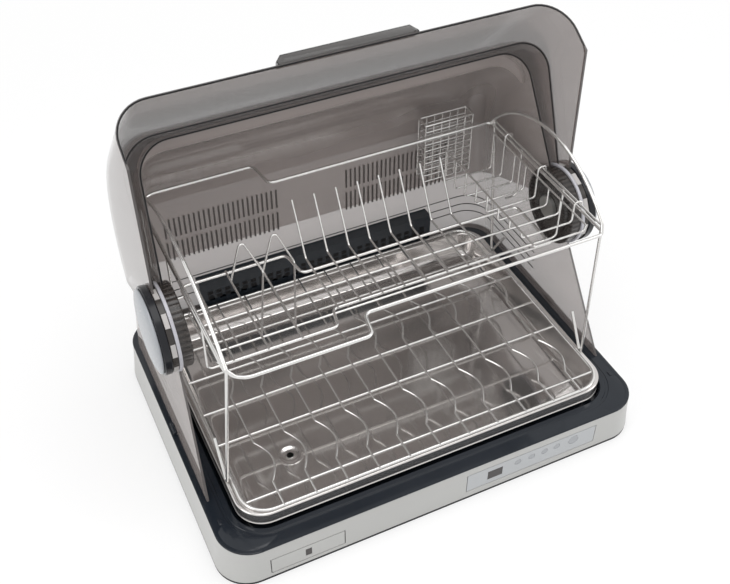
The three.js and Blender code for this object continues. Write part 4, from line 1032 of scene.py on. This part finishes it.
# ---- Middle cover ----
# The plain shell between the fixed cover and the door. The door's edge draws it forwards as it
# closes.
middle_radius = 0.191
middle_half = 0.2385
middle_start, middle_end, middle_steps = 2, 67.6, 26
door_corner = 0.038
middle_profile = arc(middle_start, middle_end, lambda angle: middle_radius, middle_steps)
middle_closing = [on_drum(angle, hub_hole) for angle in evenly(middle_start, middle_end, middle_steps)]
middle_form = (middle_profile, middle_closing, lambda z: middle_half, door_corner)
middle_shell = cover_shell("middle_cover_shell", *middle_form)
smooth(middle_shell.data, 32)
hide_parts("mid_cover")
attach(middle_shell, "middle")
middle_line = rim_line("middle_rim_line", *middle_form)
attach(middle_line, "middle")


# ---- Front door ----
# The outermost shell. Its front runs straight down to the deck when shut; it is drawn shut and
# then turned back to where the photograph has it.
door_radius = 0.200
door_half = 0.2425
door_open = 148.4
door_trail, door_tangent, door_lead = 126.4, 191.6, 236.7
door_edge = (-0.1773, 0.0548)
open_turn = (Matrix.Translation((0, hub_y, hub_z)) @ Matrix.Rotation(math.radians(-door_open), 4, "X")
             @ Matrix.Translation((0, -hub_y, -hub_z)))

arc_steps, flat_steps = 28, 10
tangent_y, tangent_z = on_drum(door_tangent, door_radius)
flat_run = math.hypot(door_edge[0] - tangent_y, door_edge[1] - tangent_z)
flat_dir = ((door_edge[0] - tangent_y) / flat_run, (door_edge[1] - tangent_z) / flat_run)
flat_in = (-flat_dir[1], flat_dir[0])
door_profile = arc(door_trail, door_tangent, lambda angle: door_radius, arc_steps)
for step in range(1, flat_steps + 1):
    reach = flat_run * (step / flat_steps)
    door_profile.append((tangent_y + flat_dir[0] * reach, tangent_z + flat_dir[1] * reach, *flat_in))
lead_turn = math.radians(door_lead)
lead_reach = (hub_z - door_edge[1]) / math.sin(lead_turn - math.pi)
door_closing = [on_drum(angle, hub_hole) for angle in evenly(door_trail, door_tangent, arc_steps)]
door_closing += toward(on_drum(door_lead, hub_hole), on_drum(door_lead, lead_reach), flat_steps)


def door_inset(number, point, depth):
    y, z = straight_in(number, point, depth)
    past = number - (len(door_profile) - 1 - flat_steps)
    if past > 0:
        slip = -flat_in[1] * depth / flat_dir[1] * past / flat_steps
        y, z = y + flat_dir[0] * slip, z + flat_dir[1] * slip
    return y, z


door_form = (door_profile, door_closing, lambda z: door_half, door_corner, door_inset)
door_shell = cover_shell("front_door_shell", *door_form)
door_shell.data.transform(open_turn)
smooth(door_shell.data, 32)
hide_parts("front_door")
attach(door_shell, "door")

line_inset = 0.0013
lead_inner, lead_outer = on_drum(door_lead, 0.052), on_drum(door_lead, lead_reach - 0.004)
door_lead_line = [(y + line_inset * math.sin(lead_turn), z - line_inset * math.cos(lead_turn))
                  for y, z in toward(lead_inner, lead_outer, 6)]
door_line = rim_line("door_rim_line", *door_form, door_lead_line)
door_line.data.transform(open_turn)
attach(door_line, "door")


# ---- Door handle ----
# A lipped strip along the middle of the door's free edge, of the same smoked plastic but
# thicker, with sloped ends. Thin dark lines follow its two long edges and its ends.
handle_half = 0.075
handle_slope = 0.006
handle_end_share = 0.45
handle_gap = 0.0003
handle_outline = ((0.0, 0.0), (0.0022, 0.0), (0.0092, 0.0037), (0.0099, 0.0052), (0.0094, 0.0066),
                  (0.0030, 0.0120), (0.0, 0.0141))
edge_radius = 0.0006


def handle_spot(x, out, up):
    """A point by its place along the door's edge, its way out of the door and its height there."""
    y, z = door_edge[0] - flat_dir[0] * up, door_edge[1] - flat_dir[1] * up
    return x, y - flat_in[0] * out, z - flat_in[1] * out


handle_stops = ((-handle_half, handle_end_share), (handle_slope - handle_half, 1),
                (handle_half - handle_slope, 1), (handle_half, handle_end_share))
handle_rings = [[handle_spot(x, out * share + handle_gap, up) for out, up in handle_outline]
                for x, share in handle_stops]
handle_mesh = skin("lipped_handle", handle_rings, close_first=True, close_last=True)
lipped_handle = new_object("lipped_handle", handle_mesh)
lipped_handle.data.transform(open_turn)
outward(lipped_handle.data)
changed(lipped_handle, "BEVEL", width=0.0005, segments=2)
coat(lipped_handle, smoked_plastic("smoked_grip", (0.040, 0.036, 0.034), 0.26, 0.5))
smooth(lipped_handle.data, 32)
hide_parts("door_handle")
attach(lipped_handle, "door")


def edge_spot(x, out, up):
    return handle_spot(x, out + handle_gap, up * 0.94 + 0.0004)


end_x = handle_half - edge_radius
edge_stops = ((-end_x, handle_end_share), (handle_slope - handle_half, 1), (handle_half - handle_slope, 1),
              (end_x, handle_end_share))
handle_paths = []
for end in (-1, 1):
    ring = [edge_spot(end * end_x, out * 0.43, up) for out, up in handle_outline]
    handle_paths.append([*ring, ring[0]])
for out, up in (handle_outline[3], handle_outline[6]):
    handle_paths.append([edge_spot(x, out * share * 0.96, up) for x, share in edge_stops])
handle_edges = bent("handle_edges", handle_paths, edge_radius, 0.0006, 6, line_black)
handle_edges.data.transform(open_turn)
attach(handle_edges, "door")


# ---- Hubs ----
# On each side a pin carries the covers. From the outside in: a domed satin cap, a black ring, a
# drum with pale and dark windows, a thin lilac ring and the rear cover's smoked boss.
cap_satin = satin_plastic("cap_satin", (0.34, 0.355, 0.375), 0.26, 500, 0.01)
ring_black = satin_plastic("ring_black", (0.010, 0.011, 0.014), 0.2, shine=0.3)
ring_lilac = satin_plastic("ring_lilac", (0.46, 0.455, 0.49), 0.28)
drum_dark = satin_plastic("drum_dark", (0.036, 0.031, 0.028), 0.2, shine=0.4)
cap_in, cap_out, cap_radius = 0.2511, 0.2586, 0.0445
ring_in, ring_out, ring_radius = 0.2428, 0.2508, 0.047
drum_in, drum_out, drum_radius = 0.2362, 0.2425, 0.0456
lilac_in, lilac_out, lilac_radius = 0.2326, 0.2360, 0.0472
boss_in, boss_out, boss_radius = 0.2205, 0.2324, 0.0450
window_count = 9


def ribbed_smoke():
    """Dark glossy smoke with ribs that run out from the hub's axis."""
    finish = Finish(bpy.data.materials.new("ribbed_smoke"))
    hub = {"Vector": finish.place(), "Location": (0, -hub_y, -hub_z)}
    from_hub = finish.node("ShaderNodeMapping", hub)
    parts = finish.node("ShaderNodeSeparateXYZ", {"Vector": from_hub["Vector"]})
    angle = parts["Z"].math("ARCTAN2", parts["Y"])
    ribs = (angle * 48.0).math("SINE")
    tint = finish.mix(ribs.math("MULTIPLY_ADD", 0.5, 0.5), (0.020, 0.017, 0.016), (0.055, 0.047, 0.043))
    return finish.surface({
        "Base Color": tint, "Roughness": ribs * 0.02 + 0.12, "Normal": finish.bump(ribs, 0.35, 0.0006),
        "Alpha": 0.88})


ribbed = ribbed_smoke()


def ring_profile(inner, outer, low, high, edge=0.0008):
    return [(inner, low), (outer - edge, low), (outer, low + edge), (outer, high - edge),
            (outer - edge, high), (inner, high), (inner, low)]


def on_hub(piece, side):
    turn = Matrix.Rotation(side * math.pi / 2, 4, "Y")
    piece.data.transform(Matrix.Translation((0, hub_y, hub_z)) @ turn)
    return piece


def round_piece(name, profile, side, material, node, body):
    piece = on_hub(new_object(name, turned(name, profile, 64)), side)
    coat(piece, material)
    smooth(piece.data, 30)
    if node:
        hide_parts(node)
    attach(piece, body)
    return piece


cap_edge = cap_in + 0.0018
cap_profile = [(0, cap_in), (cap_radius - 0.0006, cap_in), (cap_radius, cap_in + 0.0006),
               (cap_radius, cap_edge)]
for step in range(1, 9):
    turn = math.pi / 2 * step / 8
    cap_profile.append((cap_radius * math.cos(turn) if step < 8 else 0,
                        cap_edge + (cap_out - cap_edge) * math.sin(turn)))
boss_profile = [(0.0085, boss_in), (0.030, boss_in), (0.0315, boss_in + 0.003), (0.0405, boss_in + 0.003),
                (0.0415, boss_in), (boss_radius - 0.001, boss_in), (boss_radius, boss_in + 0.001),
                (boss_radius, boss_out), (0.042, boss_out), (0.041, boss_in + 0.006),
                (0.0085, boss_in + 0.006), (0.0085, boss_in)]
ring_shape = ring_profile(0.0083, ring_radius, ring_in, ring_out)
lilac_shape = ring_profile(0.0415, lilac_radius, lilac_in, lilac_out, 0.0004)
drum_shape = ring_profile(0.0435, drum_radius, drum_in, drum_out, 0.0003)
for side, hand in ((-1, "left"), (1, "right")):
    round_piece(f"hub_dome_{hand}", cap_profile, side, cap_satin, f"hub_cap_{hand}", "door")
    round_piece(f"hub_black_ring_{hand}", ring_shape, side, ring_black, f"hub_ring_{hand}", "door")
    round_piece(f"hub_lilac_ring_{hand}", lilac_shape, side, ring_lilac, None, "base")
    round_piece(f"hub_boss_{hand}", boss_profile, side, ribbed, None, "base")
    round_piece(f"hub_drum_{hand}", drum_shape, side, drum_dark, None, "base")


# ---- Small windows of the hub drums ----
# Pale blocks are set at an even pitch round each drum, where the real one has openings. Each
# stands only a little way out of the drum.
window_size = (0.0012, 0.0150, 0.0050)
window_sunk = 0.0004


def ring_tree():
    """Blocks at an even pitch round the Z axis, each turned to face out."""
    shape = Shape("blocks_round_a_ring", {"Radius": "Float", "Size": "Vector", "Count": "Int"})
    inlet = shape.inlet
    circle = shape.node("GeometryNodeMeshCircle", {"Vertices": inlet["Count"], "Radius": inlet["Radius"]})
    block = shape.node("GeometryNodeMeshCube", {"Size": inlet["Size"]})
    place = shape.node("GeometryNodeInputPosition")
    turn = shape.node("FunctionNodeAlignEulerToVector", {"Vector": place["Position"]}, axis="X")
    copies = shape.node("GeometryNodeInstanceOnPoints", {
        "Points": circle["Mesh"], "Instance": block["Mesh"], "Rotation": turn["Rotation"]})
    return shape.finished(copies["Instances"])


blocks_round = ring_tree()
window_pale = satin_plastic("window_pale", (0.46, 0.44, 0.43), 0.3)
for side, hand in ((-1, "left"), (1, "right")):
    windows = grown(f"hub_windows_{hand}", bpy.data.meshes.new("hub_windows"), blocks_round, {
        "Radius": drum_radius - window_sunk, "Size": window_size, "Count": window_count,
        "Finish": window_pale})
    windows.data.transform(Matrix.Translation((0, 0, (drum_in + drum_out) / 2)))
    on_hub(windows, side)
    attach(windows, "base")


# ---- Front panel, drawer and parts inside ----
# The panel is a pale satin plate with a dark display window and five touch keys. The drawer
# front is silver like the band. The other parts are moulded, stamped or bought in.
panel_pale = satin_plastic("panel_pale", (0.44, 0.453, 0.466), 0.3)
key_pale = satin_plastic("key_pale", (0.35, 0.362, 0.378), 0.26)
display_dark = black_gloss("display_dark", (0.030, 0.026, 0.026), 0.15)
grip_dark = black_gloss("grip_dark", (0.035, 0.030, 0.030), 0.22)
duct_black = black_gloss("duct_black", (0.014, 0.018, 0.023), 0.10)
moulded_grey = satin_plastic("moulded_grey", (0.035, 0.036, 0.038), 0.5, 500, 0.05)
board_green = satin_plastic("board_green", (0.010, 0.075, 0.030), 0.4, 300, 0.04)
soft_black = satin_plastic("soft_black", (0.012, 0.012, 0.012), 0.75, 1200, 0.15)
zinc = steel("zinc_plate", (0.60, 0.60, 0.58), 0.3, (400.0, 400.0, 400.0))
for name in ("cord_inlet", "foot_front_left", "foot_front_right", "foot_rear_left", "foot_rear_right",
             "drain_spout"):
    dress(name, soft_black)
for name in ("bottom_cover", "fan_housing", "fan_impeller", "drawer_rail_left", "drawer_rail_right"):
    dress(name, moulded_grey)
for name in ("heater", "fan_motor", "hub_pin_left", "hub_pin_right",
             *(f"cover_screw_{number}" for number in range(1, 7))):
    dress(name, zinc)
for name in ("supply_board", "control_board"):
    dress(name, board_green)
dress("rear_duct", duct_black)
dress("control_panel", panel_pale)
dress("display_window", display_dark)
for name in ("key_1", "key_2", "key_3", "key_4", "power_key"):
    dress(name, key_pale)
dress("water_drawer", satin_silver)
dress("drawer_grip", grip_dark)
